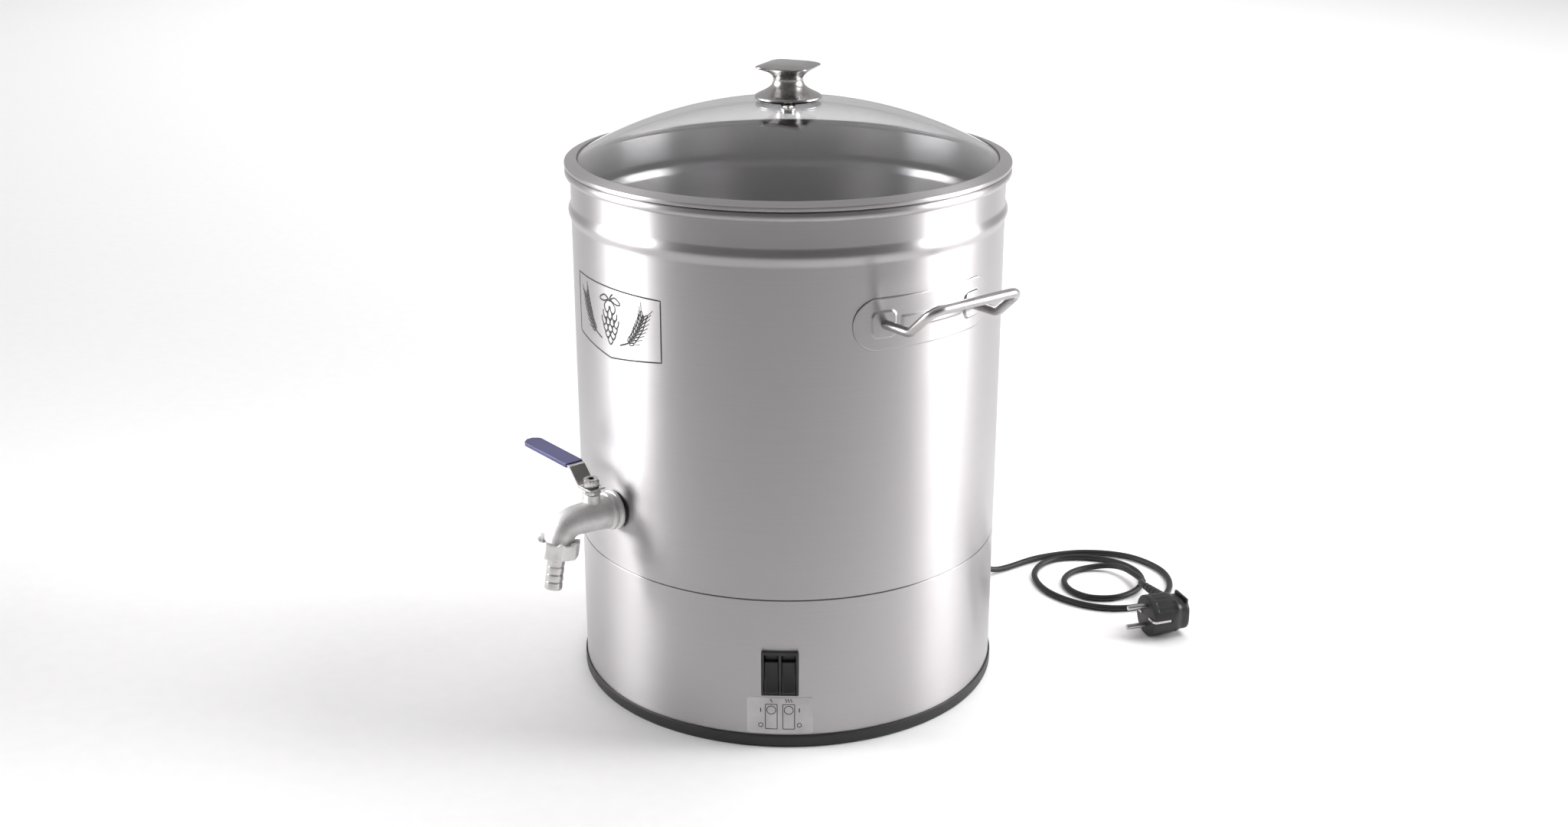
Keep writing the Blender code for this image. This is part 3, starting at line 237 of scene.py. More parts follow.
def brushed(name, colour, roughness, anisotropy):
    """Satin sheet, brushed round the kettle, with faint handling marks."""
    steel = Nodes(name, colour, roughness, 1.0, Anisotropic=anisotropy, Anisotropic_Rotation=0.25)
    strokes = steel.noise(1.0, 3.0, 0.6, (6, 6, 2600))
    fine = steel.noise(1.0, 2.0, 0.5, (22, 22, 7000))
    broad = steel.noise(9.0, 5.0, 0.6, (1, 1, 0.6))
    marks = steel.add(strokes, steel.spread(broad, -0.10, 0.10))
    steel.colour(marks, scaled(colour, 0.97), scaled(colour, 1.03))
    worn = steel.add(steel.spread(strokes, -0.012, 0.012), steel.spread(broad, -0.02, 0.02))
    steel.rough(steel.add(worn, roughness))
    steel.bump(fine, 0.000012, 0.6)
    steel.round_tangent()
    return steel.made


def satin(name, colour, roughness, grain=900, depth=0.00002, mottle=30):
    """Metal with an even fine grain, and edges rubbed brighter."""
    metal = Nodes(name, colour, roughness, 1.0)
    fine = metal.noise(grain, 3.0)
    broad = metal.noise(mottle)
    rubbed = metal.spread(metal.edges(), 0.0, 0.35, 0.52, 0.60)
    metal.colour(metal.add(broad, rubbed), scaled(colour, 0.88), scaled(colour, 1.12))
    metal.rough(metal.add(metal.spread(broad, -0.05, 0.05), roughness))
    metal.bump(fine, depth, 0.7)
    return metal.made


def cast(name, colour, roughness):
    """Blasted casting: a coarse orange-peel skin with small pits."""
    metal = Nodes(name, colour, roughness, 1.0)
    coarse = metal.noise(420, 3.0, 0.6)
    pits = metal.cells(900)
    broad = metal.noise(60)
    rubbed = metal.spread(metal.edges(), 0.0, 0.4, 0.51, 0.58)
    metal.colour(metal.add(broad, rubbed), scaled(colour, 0.86), scaled(colour, 1.10))
    metal.rough(metal.add(metal.spread(coarse, -0.06, 0.06), roughness))
    first = metal.bump(coarse, 0.00022, 0.8)
    metal.bump(pits, 0.00006, 0.5, first)
    return metal.made


def moulded(name, colour, roughness, grain=1400, depth=0.00003, coat=0.0):
    """Plastic or rubber with a fine moulded grain, and edges a little paler."""
    plastic = Nodes(name, colour, roughness, 0.0, Coat_Weight=coat)
    fine = plastic.noise(grain, 3.0)
    broad = plastic.noise(45, 5.0)
    rubbed = plastic.spread(plastic.edges(), 0.0, 0.3, 0.52, 0.60)
    plastic.colour(plastic.add(broad, rubbed), scaled(colour, 0.82), scaled(colour, 1.30), 0.3, 0.9)
    plastic.rough(plastic.add(plastic.spread(broad, -0.06, 0.06), roughness))
    plastic.bump(fine, depth, 0.6)
    return plastic.made


def clear(name, colour, roughness, ior=1.5):
    """Clear glass or silicone, with faint smears."""
    pane = Nodes(name, colour, roughness, 0.0, Transmission_Weight=1.0, IOR=ior)
    smear = pane.noise(14)
    pane.rough(pane.spread(smear, roughness, roughness + 0.004))
    pane.colour(smear, scaled(colour, 0.985), colour)
    return pane.made


def make_materials():
    """The materials, by the record's slot."""
    return {
        "vessel steel": brushed("vessel steel", (0.46, 0.445, 0.45), 0.36, 0.80),
        "handle steel": satin("handle steel", (0.48, 0.465, 0.465), 0.29),
        "knob steel": satin("knob steel", (0.40, 0.385, 0.385), 0.27, 1200, 0.00001),
        "tap casting": cast("tap casting", (0.84, 0.83, 0.825), 0.62),
        "turned steel": satin("turned steel", (0.64, 0.63, 0.62), 0.30, 700, 0.00001),
        "zinc plate": satin("zinc plate", (0.60, 0.61, 0.62), 0.38, 300, 0.00003, 90),
        "aluminium": satin("aluminium", (0.74, 0.74, 0.75), 0.45, 500, 0.00004),
        "element sheath": satin("element sheath", (0.22, 0.19, 0.17), 0.50, 400, 0.00003, 60),
        "copper": satin("copper", (0.78, 0.42, 0.27), 0.33, 600),
        "nickel plate": satin("nickel plate", (0.50, 0.49, 0.475), 0.30, 900, 0.00001),
        "lid glass": clear("lid glass", (0.93, 0.935, 0.94), 0.0),
        "black plastic": moulded("black plastic", (0.017, 0.017, 0.018), 0.45),
        "black rubber": moulded("black rubber", (0.016, 0.0155, 0.016), 0.50, 900, 0.00004),
        "blue vinyl": moulded("blue vinyl", (0.060, 0.060, 0.180), 0.42, 700, 0.00002, 0.35),
        "ptfe": moulded("ptfe", (0.80, 0.80, 0.78), 0.45),
        "ceramic": moulded("ceramic", (0.76, 0.72, 0.64), 0.60, 500),
        "white nylon": moulded("white nylon", (0.76, 0.76, 0.72), 0.48),
        "clear silicone": clear("clear silicone", (0.75, 0.75, 0.75), 0.25, 1.41),
        "label film": moulded("label film", (0.47, 0.455, 0.46), 0.36, 300, 0.000005, 0.2),
        "red wire": moulded("red wire", (0.50, 0.04, 0.03), 0.50),
        "brown wire": moulded("brown wire", (0.18, 0.08, 0.04), 0.50),
        "green wire": moulded("green wire", (0.08, 0.36, 0.10), 0.50),
    }


MATERIALS = make_materials()
INK = moulded("print ink", (0.008, 0.008, 0.009), 0.45, 900, 0.000004)
PLATE_STEEL = brushed("plate steel", (0.46, 0.445, 0.45), 0.34, 0.75)
SLOT_OF = {row["node"]: row["material_slot"] for row in frame["record"]["subparts"]}
for node, shown in frame["nodes"].items():
    shown.data.materials.clear()
    shown.data.materials.append(MATERIALS[SLOT_OF[node]])


# ---- Building pieces --------------------------------------------------------------------------------
def finish_piece(made, body, nodes=(), slot=None, material=None):
    """Give a piece its material and its body, and hide the CAD nodes that it stands for."""
    slot = slot or SLOT_OF[nodes[0]]
    made.data.materials.clear()
    made.data.materials.append(material or MATERIALS[slot])
    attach(made, body)
    if nodes:
        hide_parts(*nodes)
    return made


def piece(name, bm, body, nodes=(), slot=None, material=None, sharp=35, bevel=0.0, rounds=2):
    """Turn a bmesh into a finished piece. A bevel rounds every edge sharper than sharp degrees."""
    bmesh.ops.recalc_face_normals(bm, faces=bm.faces[:])
    mesh = bpy.data.meshes.new(name)
    bm.to_mesh(mesh)
    bm.free()
    mesh.shade_smooth()
    mesh.set_sharp_from_angle(angle=math.radians(sharp))
    made = bpy.data.objects.new(name, mesh)
    bpy.context.scene.collection.objects.link(made)
    if bevel:
        edge = made.modifiers.new("soft edges", "BEVEL")
        edge.width = bevel
        edge.segments = rounds
        edge.limit_method = "ANGLE"
        edge.angle_limit = math.radians(sharp)
        edge.harden_normals = True
    return finish_piece(made, body, nodes, slot, material)


def stand_in(node, bm, body="kettle", **options):
    """The finely made piece for one CAD node."""
    return piece(f"{node}_fine", bm, body, [node], **options)


def settle(made):
    """Apply a piece's modifiers."""
    graph = bpy.context.evaluated_depsgraph_get()
    old = made.data
    made.data = bpy.data.meshes.new_from_object(made.evaluated_get(graph))
    made.modifiers.clear()
    bpy.data.meshes.remove(old)


def cut(made, *tools):
    """Cut each bmesh out of a piece."""
    helpers = []
    for number, bm in enumerate(tools):
        bmesh.ops.recalc_face_normals(bm, faces=bm.faces[:])
        mesh = bpy.data.meshes.new("cutter")
        bm.to_mesh(mesh)
        bm.free()
        tool = bpy.data.objects.new(f"cutter_{number}", mesh)
        bpy.context.scene.collection.objects.link(tool)
        modifier = made.modifiers.new(f"cut {number}", "BOOLEAN")
        modifier.operation = "DIFFERENCE"
        modifier.object = tool
        modifier.solver = "EXACT"
        helpers.append(tool)
    bpy.context.view_layer.update()
    settle(made)
    for tool in helpers:
        bpy.data.objects.remove(tool, do_unlink=True)
    made.data.set_sharp_from_angle(angle=math.radians(35))
    return made


def skin(bm, rings, closed=True):
    """Join rings of vertices in order; a ring of one vertex is a pole. Open skins get flat ends."""
    pairs = list(zip(rings, rings[1:]))
    if closed:
        pairs.append((rings[-1], rings[0]))
    for near, far in pairs:
        count = max(len(near), len(far))
        if count == 1:
            continue
        for k in range(count):
            turn = (k + 1) % count
            corners = (near[k % len(near)], near[turn % len(near)], far[turn % len(far)], far[k % len(far)])
            bm.faces.new(dict.fromkeys(corners))
    if not closed:
        for end in (rings[0], rings[-1]):
            if len(end) > 1:
                bm.faces.new(end)


def solid(rings, closed=True):
    """A bmesh skinned over rings of points."""
    bm = bmesh.new()
    skin(bm, [[bm.verts.new(point) for point in ring] for ring in rings], closed)
    return bm


def disc(radius, low, high):
    """Outline of a plain disc or rod for turned()."""
    return [(0, low), (radius, low), (radius, high), (0, high)]


def rectangle(low_x, high_x, low_y, high_y):
    return [(low_x, low_y), (high_x, low_y), (high_x, high_y), (low_x, high_y)]


def shift(x, y, z):
    return Matrix.Translation((x, y, z))


def turn(degrees, axis):
    return Matrix.Rotation(math.radians(degrees), 4, axis)


UPRIGHT = turn(90, "Z") @ turn(90, "X")  # stands a flat outline up, facing +X


def filleted(outline, steps=4):
    """A closed outline of (x, y) or (x, y, radius) points, with each corner that has a radius rounded."""
    points = []
    count = len(outline)
    for k, corner in enumerate(outline):
        here = Vector(corner[:2])
        if len(corner) == 2:
            points.append(tuple(here))
            continue
        back = Vector(outline[k - 1][:2]) - here
        ahead = Vector(outline[(k + 1) % count][:2]) - here
        half = back.angle(ahead) / 2
        reach = min(corner[2] / math.tan(half), 0.48 * back.length, 0.48 * ahead.length)
        start, stop = here + back.normalized() * reach, here + ahead.normalized() * reach
        for n in range(steps + 1):
            t = n / steps
            points.append(tuple(start * (1 - t) ** 2 + here * 2 * t * (1 - t) + stop * t**2))
    return points


def turned(profile, segments=FINE, along="Z", steps=4):
    """A solid of revolution from a closed outline of (radius, height) points, about Z or X."""
    rings = []
    for radius, height in filleted(profile, steps):
        around = segments if radius > 1e-9 else 1
        rings.append([polar(radius, 2 * math.pi * k / around, height) for k in range(around)])
    bm = solid(rings)
    return moved(bm, turn(90, "Y")) if along == "X" else bm


def prism(outline, low, high):
    """A flat outline of (x, y) points raised along Z."""
    return solid([[(x, y, z) for x, y in outline] for z in (low, high)], closed=False)


def sideways(outline, half):
    """A flat outline of (x, z) points given a width along Y."""
    return solid([[(x, y, z) for x, z in outline] for y in (-half, half)], closed=False)


def moved(bm, matrix):
    bmesh.ops.transform(bm, matrix=matrix, verts=bm.verts[:])
    return bm


def joined(*parts):
    """Several bmeshes as one."""
    whole = bmesh.new()
    for part in parts:
        mesh = bpy.data.meshes.new("part")
        part.to_mesh(mesh)
        part.free()
        whole.from_mesh(mesh)
        bpy.data.meshes.remove(mesh)
    return whole


def at_wall(azimuth, height):
    """Matrix of a frame on the kettle's axis with +X out through the wall, +Y round it and +Z up."""
    return shift(0, 0, height) @ turn(azimuth - 90, "Z")


def polar(radius, angle, height):
    """The point at an angle about +Z, measured from +X."""
    return radius * math.cos(angle), radius * math.sin(angle), height


def on_wall(radius, angle, height):
    """The point at an azimuth, in radians, from -Y towards +X."""
    return radius * math.sin(angle), -radius * math.cos(angle), height


def chamfered_nut(radius, low, high, bore, turn_deg):
    """A hexagon nut with both its ends turned down at the corners."""
    side = math.radians(60)
    flat = radius * math.cos(side / 2)
    bevel = 0.0007
    levels = ((low, flat * 0.985), (low + bevel, radius), (high - bevel, radius), (high, flat * 0.985))
    rings = []
    for height, limit in (*levels, (high, bore), (low, bore)):
        ring = []
        for k in range(48):
            angle = 2 * math.pi * k / 48
            reach = min(flat / math.cos(angle % side - side / 2), limit)
            ring.append(polar(reach, angle + math.radians(turn_deg), height))
        rings.append(ring)
    return solid(rings)


def swept(points, radii, sides):
    """A round pipe in the XZ plane, along points (x, z) with a radius at each."""
    rings = []
    last = len(points) - 1
    for k, ((x, z), radius) in enumerate(zip(points, radii)):
        before, after = points[max(k - 1, 0)], points[min(k + 1, last)]
        along = Vector((after[0] - before[0], 0, after[1] - before[1])).normalized()
        side = Vector((0, 1, 0))
        up = side.cross(along)
        angles = [2 * math.pi * n / sides for n in range(sides)]
        rings.append([Vector((x, 0, z)) + radius * (side * math.cos(a) + up * math.sin(a)) for a in angles])
    return solid(rings, closed=False)


def rounded_path(corners, radius, steps=10):
    """Points along straight runs between corners, with each inner corner rounded by an arc."""
    corners = [Vector(c) for c in corners]
    path = [corners[0]]
    for before, corner, after in zip(corners, corners[1:], corners[2:]):
        back = (before - corner).normalized()
        ahead = (after - corner).normalized()
        half = back.angle(ahead) / 2
        centre = corner + (back + ahead).normalized() * radius / math.sin(half)
        start = corner + back * radius / math.tan(half)
        axis = back.cross(ahead).normalized()
        sweep = -(math.pi - 2 * half)
        for k in range(steps + 1):
            turn = Matrix.Rotation(sweep * k / steps, 4, axis)
            path.append(centre + turn @ (start - centre))
    path.append(corners[-1])
    return path


def smooth_route(points, spacing):
    """Even points along one smooth curve (Catmull-Rom) through the given ones."""
    knots = [Vector(p) for p in points]
    knots = [2 * knots[0] - knots[1], *knots, 2 * knots[-1] - knots[-2]]
    fine = []
    for a, b, c, d in zip(knots, knots[1:], knots[2:], knots[3:]):
        for k in range(24):
            t = k / 24
            bend = (2 * a - 5 * b + 4 * c - d) * t**2 + (3 * b - a - 3 * c + d) * t**3
            fine.append(0.5 * (2 * b + (c - a) * t + bend))
    fine.append(knots[-2])
    lengths = [0.0]
    for near, far in zip(fine, fine[1:]):
        lengths.append(lengths[-1] + (far - near).length)
    count = round(lengths[-1] / spacing)
    route, k = [], 0
    for n in range(count + 1):
        wanted = lengths[-1] * n / count
        while k < len(fine) - 2 and lengths[k + 1] < wanted:
            k += 1
        share = (wanted - lengths[k]) / (lengths[k + 1] - lengths[k])
        route.append(fine[k].lerp(fine[k + 1], min(max(share, 0.0), 1.0)))
    return route


def rod(node, points, radius):
    """A round rod or lead along points, as a curve with closed ends, for one CAD node."""
    curve = bpy.data.curves.new(f"{node}_fine", "CURVE")
    curve.dimensions = "3D"
    curve.bevel_depth = radius
    curve.bevel_resolution = 6
    curve.use_fill_caps = True
    spline = curve.splines.new("POLY")
    spline.points.add(len(points) - 1)
    for point, position in zip(spline.points, points):
        point.co = (*position, 1.0)
    spline.use_smooth = True
    made = bpy.data.objects.new(f"{node}_fine", curve)
    bpy.context.scene.collection.objects.link(made)
    return finish_piece(made, "kettle", [node])


def smooth(share):
    share = min(max(share, 0.0), 1.0)
    return share * share * (3 - 2 * share)


# ---- Vessel and base --------------------------------------------------------------------------------
def ridge(radius, upward, steps=16):
    """The pressed ridge on one side of the wall."""
    low, high = RIDGE_Z
    shares = [k / steps for k in range(steps + 1)]
    points = [(radius + RIDGE_DEPTH * math.sin(math.pi * t) ** 2, low + (high - low) * t) for t in shares]
    return points if upward else points[::-1]


def rolled_rim(steps=20):
    centre_r = BODY_R - SHEET + RIM_HALF[0]
    start = -math.acos((BODY_R - centre_r) / RIM_HALF[0])
    points = []
    for k in range(steps + 1):
        angle = start + (math.pi - start) * k / steps
        points.append((centre_r + RIM_HALF[0] * math.cos(angle), RIM_Z + RIM_HALF[1] * math.sin(angle)))
    return points


def make_vessel():
    inner = BODY_R - SHEET
    bottom = SEAM_Z + GAP
    profile = [(BODY_R - 0.0004, bottom), (BODY_R, bottom + 0.0004)]
    profile += [*ridge(BODY_R, True), *rolled_rim(), *ridge(inner, False), (inner, bottom)]
    wall = stand_in("vessel_wall", turned(profile))
    cut(wall, moved(turned(disc(TAP_HOLE_R, 0.160, 0.195), 32, "X"), at_wall(0, TAP_Z)))
    edge = inner - 0.0004
    floor = [
        (0, FLOOR_Z),
        (edge - 0.0060, FLOOR_Z),
        (edge, FLOOR_Z, 0.0060),
        (edge, 0.1190),
        (edge - 0.0015, 0.1190),
        (edge - 0.0015, FLOOR_Z - 0.0015, 0.0050),
        (0, FLOOR_Z - 0.0015),
    ]
    stand_in("vessel_floor", turned(floor, steps=6))


def make_base():
    inner = BODY_R - SHEET
    top = SEAM_Z - GAP
    skirt = [(BODY_R, 0.0028), (BODY_R, top - 0.0004), (BODY_R - 0.0004, top), (inner, top), (inner, 0.0028)]
    made = stand_in("base_skirt", turned(skirt))
    opening = prism(rectangle(0.160, 0.190, -0.0141, 0.0141), -0.0189, 0.0189)
    lead = turned(disc(0.0062, 0.160, 0.195), 24, "X")
    cut(made, moved(opening, at_wall(SWITCH_AZIMUTH, SWITCH_Z)), moved(lead, at_wall(180, GLAND_Z)))
    ring = [
        (0.1765, 0.0, 0.0004),
        (RING_R - 0.0010, 0.0, 0.0008),
        (RING_R, 0.0022, 0.0010),
        (RING_R, RING_H - 0.0016, 0.0006),
        (RING_R - 0.0004, RING_H, 0.0005),
        (BODY_R + GAP, RING_H),
        (BODY_R + GAP, 0.0025),
        (inner - GAP, 0.0025),
        (inner - GAP, 0.0095),
        (0.1765, 0.0095),
    ]
    stand_in("foot_ring", turned(ring))


# ---- Switch, its label and the emblem ---------------------------------------------------------------
def make_switch():
    place = at_wall(SWITCH_AZIMUTH, SWITCH_Z)
    face = BODY_R + 0.0023
    half_w, foot, head = 0.01525, -0.0190, 0.0201
    outline = filleted([(*corner, 0.0012) for corner in rectangle(-half_w, half_w, foot, head)])
    frame_part = prism(outline, BODY_R - 0.0004, face)
    housing = stand_in("switch_housing", moved(frame_part, place @ UPRIGHT))
    tools = []
    for side in (-1, 1):
        middle = side * ROCKER_X
        opening = rectangle(0.1600, 0.1900, middle - 0.0059, middle + 0.0059)
        tools.append(moved(prism(opening, -0.0173, 0.0173), place))
    cut(housing, *tools)
    bevel = housing.modifiers.new("soft edges", "BEVEL")
    bevel.width = 0.0005
    bevel.segments = 2
    bevel.limit_method = "ANGLE"
    bevel.angle_limit = math.radians(35)
    for name, side in (("rocker_low", -1), ("rocker_high", 1)):
        end, half, pivot = 0.0164, 0.0055, 0.0050
        rings = []
        columns = 10
        for n in range(columns + 1):
            across = -half + 2 * half * n / columns
            edge = smooth((half - abs(across)) / 0.0007)
            ring = []
            for k in range(49):
                height = end - 2 * end * k / 48
                hollow = 0.0019 * (1 - (height / end) ** 2)
                drop = 0.0004 * (1 - edge) + 0.0005 * (1 - smooth((end - abs(height)) / 0.0008))
                drop += 0.0036 * smooth((height - 0.0100) / 0.0010)
                ring.append((pivot + 0.0010 - hollow - drop, across, height))
            back = ((-0.0010, -end), (-0.0060, -0.0050), (-0.0060, 0.0050), (-0.0010, end))
            rings.append(ring + [(x, across, height) for x, height in back])
        tilt = shift(face - pivot, side * ROCKER_X, 0) @ turn(-8, "Y")
        stand_in(name, moved(solid(rings, closed=False), place @ tilt), name)


def ink_strip(bm, points, width, azimuth, height, low, high, loop=False):
    """A printed line along (u, v) points in metres, lying on the wall."""
    points = [Vector(p) for p in points]
    rings = []
    last = len(points) - 1
    for k, point in enumerate(points):
        before = points[k - 1] if k or loop else point
        after = points[(k + 1) % len(points)] if k < last or loop else point
        along = (after - before).normalized()
        side = Vector((-along.y, along.x)) * width / 2
        ring = []
        for radius, offset in ((low, -side), (high, -side), (high, side), (low, side)):
            spot = point + offset
            angle = math.radians(azimuth) + spot.x / BODY_R
            ring.append(bm.verts.new(on_wall(radius, angle, height + spot.y)))
        rings.append(ring)
    skin(bm, rings, closed=loop)


def ellipse(centre, half_x, half_y, turn_deg=0.0, steps=16):
    spin = Matrix.Rotation(math.radians(turn_deg), 2)
    angles = [2 * math.pi * k / steps for k in range(steps)]
    return [Vector(centre) + spin @ Vector((half_x * math.cos(a), half_y * math.sin(a))) for a in angles]


def curve_through(points, steps=8):
    """A smooth line through a few (x, y) points."""
    flat = [(x, y, 0.0) for x, y in points]
    length = sum((Vector(b) - Vector(a)).length for a, b in zip(flat, flat[1:]))
    return [p.xy for p in smooth_route(flat, length / (steps * (len(points) - 1)))]


def make_label():
    half_w, half_h = LABEL_HALF
    under, over, corner_r = BODY_R - 0.0001, BODY_R + 0.0003, 0.0012
    columns = 24
    rings = []
    for k in range(columns + 1):
        along = -half_w + 2 * half_w * k / columns
        past = max(abs(along) - (half_w - corner_r), 0.0)
        tall = half_h - corner_r + math.sqrt(max(corner_r**2 - past**2, 1e-9))
        angle = math.radians(SWITCH_AZIMUTH) + along / BODY_R
        section = ((under, -tall), (over, -tall), (over, tall), (under, tall))
        rings.append([on_wall(radius, angle, LABEL_Z + height) for radius, height in section])
    stand_in("switch_label", solid(rings, closed=False))
    bm = bmesh.new()
    low, high = BODY_R + 0.0002, BODY_R + 0.0004

    def line(points, width=0.0006, loop=False):
        ink_strip(bm, points, width, SWITCH_AZIMUTH, LABEL_Z, low, high, loop)

    for side in (-1, 1):
        middle = side * 0.0071
        slot = rectangle(middle - 0.0048, middle + 0.0048, -0.0122, 0.0102)
        line(filleted([(*corner, 0.0006) for corner in slot], 3), loop=True)
        line(ellipse((middle, 0.0050), 0.0037, 0.0037), loop=True)
        waves = 1 if side < 0 else 3
        for n in range(waves):
            x = middle + (n - (waves - 1) / 2) * 0.0021
            wave = [(x, 0.0120), (x + 0.0006, 0.0131), (x - 0.0006, 0.0142), (x, 0.0153)]
            line(curve_through(wave, 4))
        mark = middle + side * 0.0086
        line([(mark, 0.0030), (mark, 0.0066)], 0.0008)
        line(ellipse((mark, -0.0088), 0.0018, 0.0018), 0.0006, loop=True)
    piece("switch_label_print", bm, "kettle", (), "black plastic", INK)


def make_emblem():
    """A hop cone between two barley ears in a plain frame with a pointed foot, as printed lines."""
    bm = bmesh.new()

    def line(points, width=0.0008, loop=False):
        ink_strip(bm, points, width, 0.0, EMBLEM_Z, BODY_R - 0.0001, BODY_R + 0.0001, loop)

    half_w, half_h = EMBLEM_HALF
    corners = [(-half_w, -half_h + 0.0025), (0, -half_h - 0.0055), (half_w, -half_h + 0.0025)]
    corners += [(half_w, half_h), (-half_w, half_h)]
    frame_line = []
    for near, far in zip(corners, corners[1:] + corners[:1]):
        parts = max(int((Vector(far) - Vector(near)).length / 0.004), 1)
        frame_line += [tuple(Vector(near).lerp(Vector(far), k / parts)) for k in range(parts)]
    line(frame_line, 0.0012, loop=True)
    rows = ((0.0110, (-1, 1), 0.0060), (0.0062, (-1.5, 0, 1.5), 0.0072), (0.0010, (-2, -0.7, 0.7, 2), 0.0070))
    rows += ((-0.0044, (-1.5, 0, 1.5), 0.0070), (-0.0096, (-0.9, 0.9), 0.0066), (-0.0146, (0,), 0.0060))
    for top, places, tall in rows:
        for share in places:
            x = share * 0.0041
            scale = [(x - 0.0035, top), (x - 0.0030, top - 0.55 * tall), (x, top - tall)]
            scale += [(x + 0.0030, top - 0.55 * tall), (x + 0.0035, top)]
            line(curve_through(scale, 4), 0.0013)
    line(curve_through([(-0.0075, 0.0112), (-0.0030, 0.0150), (0.0030, 0.0150), (0.0075, 0.0112)], 4), 0.0011)
    line(curve_through([(0, 0.0145), (0.0012, 0.0185), (0.0045, 0.0215)], 4), 0.0014)
    for side in (-1, 1):
        leaf = ((0.0010, 0.0165), (0.0075, 0.0190), (0.0145, 0.0150), (0.0085, 0.0138), (0.0010, 0.0165))
        line(curve_through([(side * x, y) for x, y in leaf], 5), 0.0013)
        stem = ((0.0130, -0.0185), (0.0250, -0.0130), (0.0350, -0.0010), (0.0410, 0.0120))
        path = curve_through([(side * x, y) for x, y in stem], 8)
        line(path, 0.0013)
        for k in range(7, len(path) - 1, 2):
            along = (path[k + 1] - path[k - 1]).normalized()
            heading = math.degrees(math.atan2(along.y, along.x))
            for flank in (-1, 1):
                out = Vector((-along.y, along.x)) * flank
                grain = path[k] + out * 0.0024 + along * 0.0012
                line(ellipse(grain, 0.0027, 0.0010, heading + 24 * flank, 12), 0.0010, loop=True)
                awn = grain + along * 0.0026 + out * 0.0012
                line([awn, awn + along * 0.0062 + out * 0.0030], 0.0006)
    piece("emblem_print", bm, "kettle", (), "black plastic", INK)


# ---- Handles ----------------------------------------------------------------------------------------
def plate_height(along, up):
    """How far the pressed plate stands out at a point on it, in metres."""
    raised = 0.0
    for side in (-1, 1):
        dx = abs(along - side * 0.0460) - 0.0053
        dy = abs(up) - 0.0055
        past = math.hypot(max(dx, 0.0), max(dy, 0.0)) + min(max(dx, dy), 0.0)
        raised = max(raised, 0.0016 * smooth((0.0054 - past) / 0.0009))
    past = max(abs(along) - 0.0310, abs(up) - 0.0052)
    raised = max(raised, 0.0011 * smooth(-past / 0.0010))
    return raised


def make_handles():
    length, height, thick = HANDLE_PLATE
    inner = BODY_R + 0.0001
    columns, rows = 280, 84
    for name, azimuth in (("right", 90.0), ("left", -90.0)):
        place = at_wall(azimuth, HANDLE_Z)
        rings = []
        for k in range(columns + 1):
            share = -math.cos(math.pi * k / columns)
            along = share * length / 2
            past = max(abs(along) - (length - height) / 2, 0.0)
            tall = max(math.sqrt(max((height / 2) ** 2 - past**2, 0.0)), 0.0003)
            angle = along / BODY_R
            ring = []
            for n in range(rows + 1):
                up = tall * (2 * n / rows - 1)
                inset = min(tall - abs(up), length / 2 - abs(along))
                radius = inner + thick - 0.0006 * (1 - smooth(inset / 0.0006)) + plate_height(along, up)
                ring.append(polar(radius, angle, up))
            rings.append([*ring, polar(inner, angle, tall), polar(inner, angle, -tall)])
        plate = moved(solid(rings, closed=False), place)
        stand_in(f"handle_plate_{name}", plate, material=PLATE_STEEL, sharp=60)
        elbow, grip = HANDLE_REACH
        leg = ((HANDLE_ROOT, 0), (elbow, 0), (grip, HANDLE_RISE))
        corners = [(x, -HANDLE_HALF, z) for x, z in leg] + [(x, HANDLE_HALF, z) for x, z in reversed(leg)]
        path = [place @ p for p in rounded_path(corners, HANDLE_BEND_R)]
        rod(f"handle_rod_{name}", path, HANDLE_ROD_R)


# ---- Lid --------------------------------------------------------------------------------------------
def dome(radius, sphere_r=DOME_R):
    return DOME_TOP_Z - DOME_R + math.sqrt(sphere_r**2 - radius**2)


def make_lid():
    steps, hole_r = 40, 0.0040
    radii = [hole_r + (GLASS_EDGE_R - hole_r) * k / steps for k in range(steps + 1)]
    profile = [(r, dome(r)) for r in radii] + [(r, dome(r, DOME_R - GLASS)) for r in reversed(radii)]
    pane = stand_in("lid_glass", turned(profile, 160), "lid", sharp=50)
    slope = math.degrees(math.asin(VENT_X / DOME_R))
    vent = turn(VIEW_AZIMUTH - 90, "Z") @ shift(VENT_X, 0, dome(VENT_X)) @ turn(slope, "Y")
    cut(pane, moved(turned(disc(0.0056, -0.01, 0.01), 32), vent))
    eyelet = [(0.0042, -0.0050), (0.0052, -0.0050), (0.0052, 0.0003), (0.0062, 0.0003, 0.0003)]
    eyelet += [(0.0062, 0.0010, 0.0005), (0.0054, 0.0016, 0.0005), (0.0045, 0.0016, 0.0005)]
    stand_in("lid_vent_eyelet", moved(turned(eyelet, SMALL), vent), "lid")
    lip_top, lip_under = dome(0.1725) + 0.0002, dome(0.1725, DOME_R - GLASS) - 0.0002
    band = [
        (0.1742, lip_top - 0.0010),
        (0.1745, lip_top + 0.0002, 0.0004),
        (0.1772, lip_top - 0.0004, 0.002),
        (0.1826, lip_top - 0.0022, 0.002),
        (BAND_R, BAND_Z + 0.0036, 0.0010),
        (BAND_R, BAND_Z + 0.0010, 0.0006),
        (BAND_R - 0.0010, BAND_Z, 0.0005),
        (0.1780, BAND_Z),
        (0.1768, BAND_Z - 0.0030, 0.0008),
        (0.1725, lip_under - 0.0010, 0.0004),
        (0.1725, lip_under),
        (GLASS_EDGE_R + GAP, dome(GLASS_EDGE_R, DOME_R - GLASS) - 0.0002),
        (GLASS_EDGE_R + GAP, dome(GLASS_EDGE_R) + 0.0002),
    ]
    stand_in("lid_rim_band", turned(band), "lid")
    make_knob()


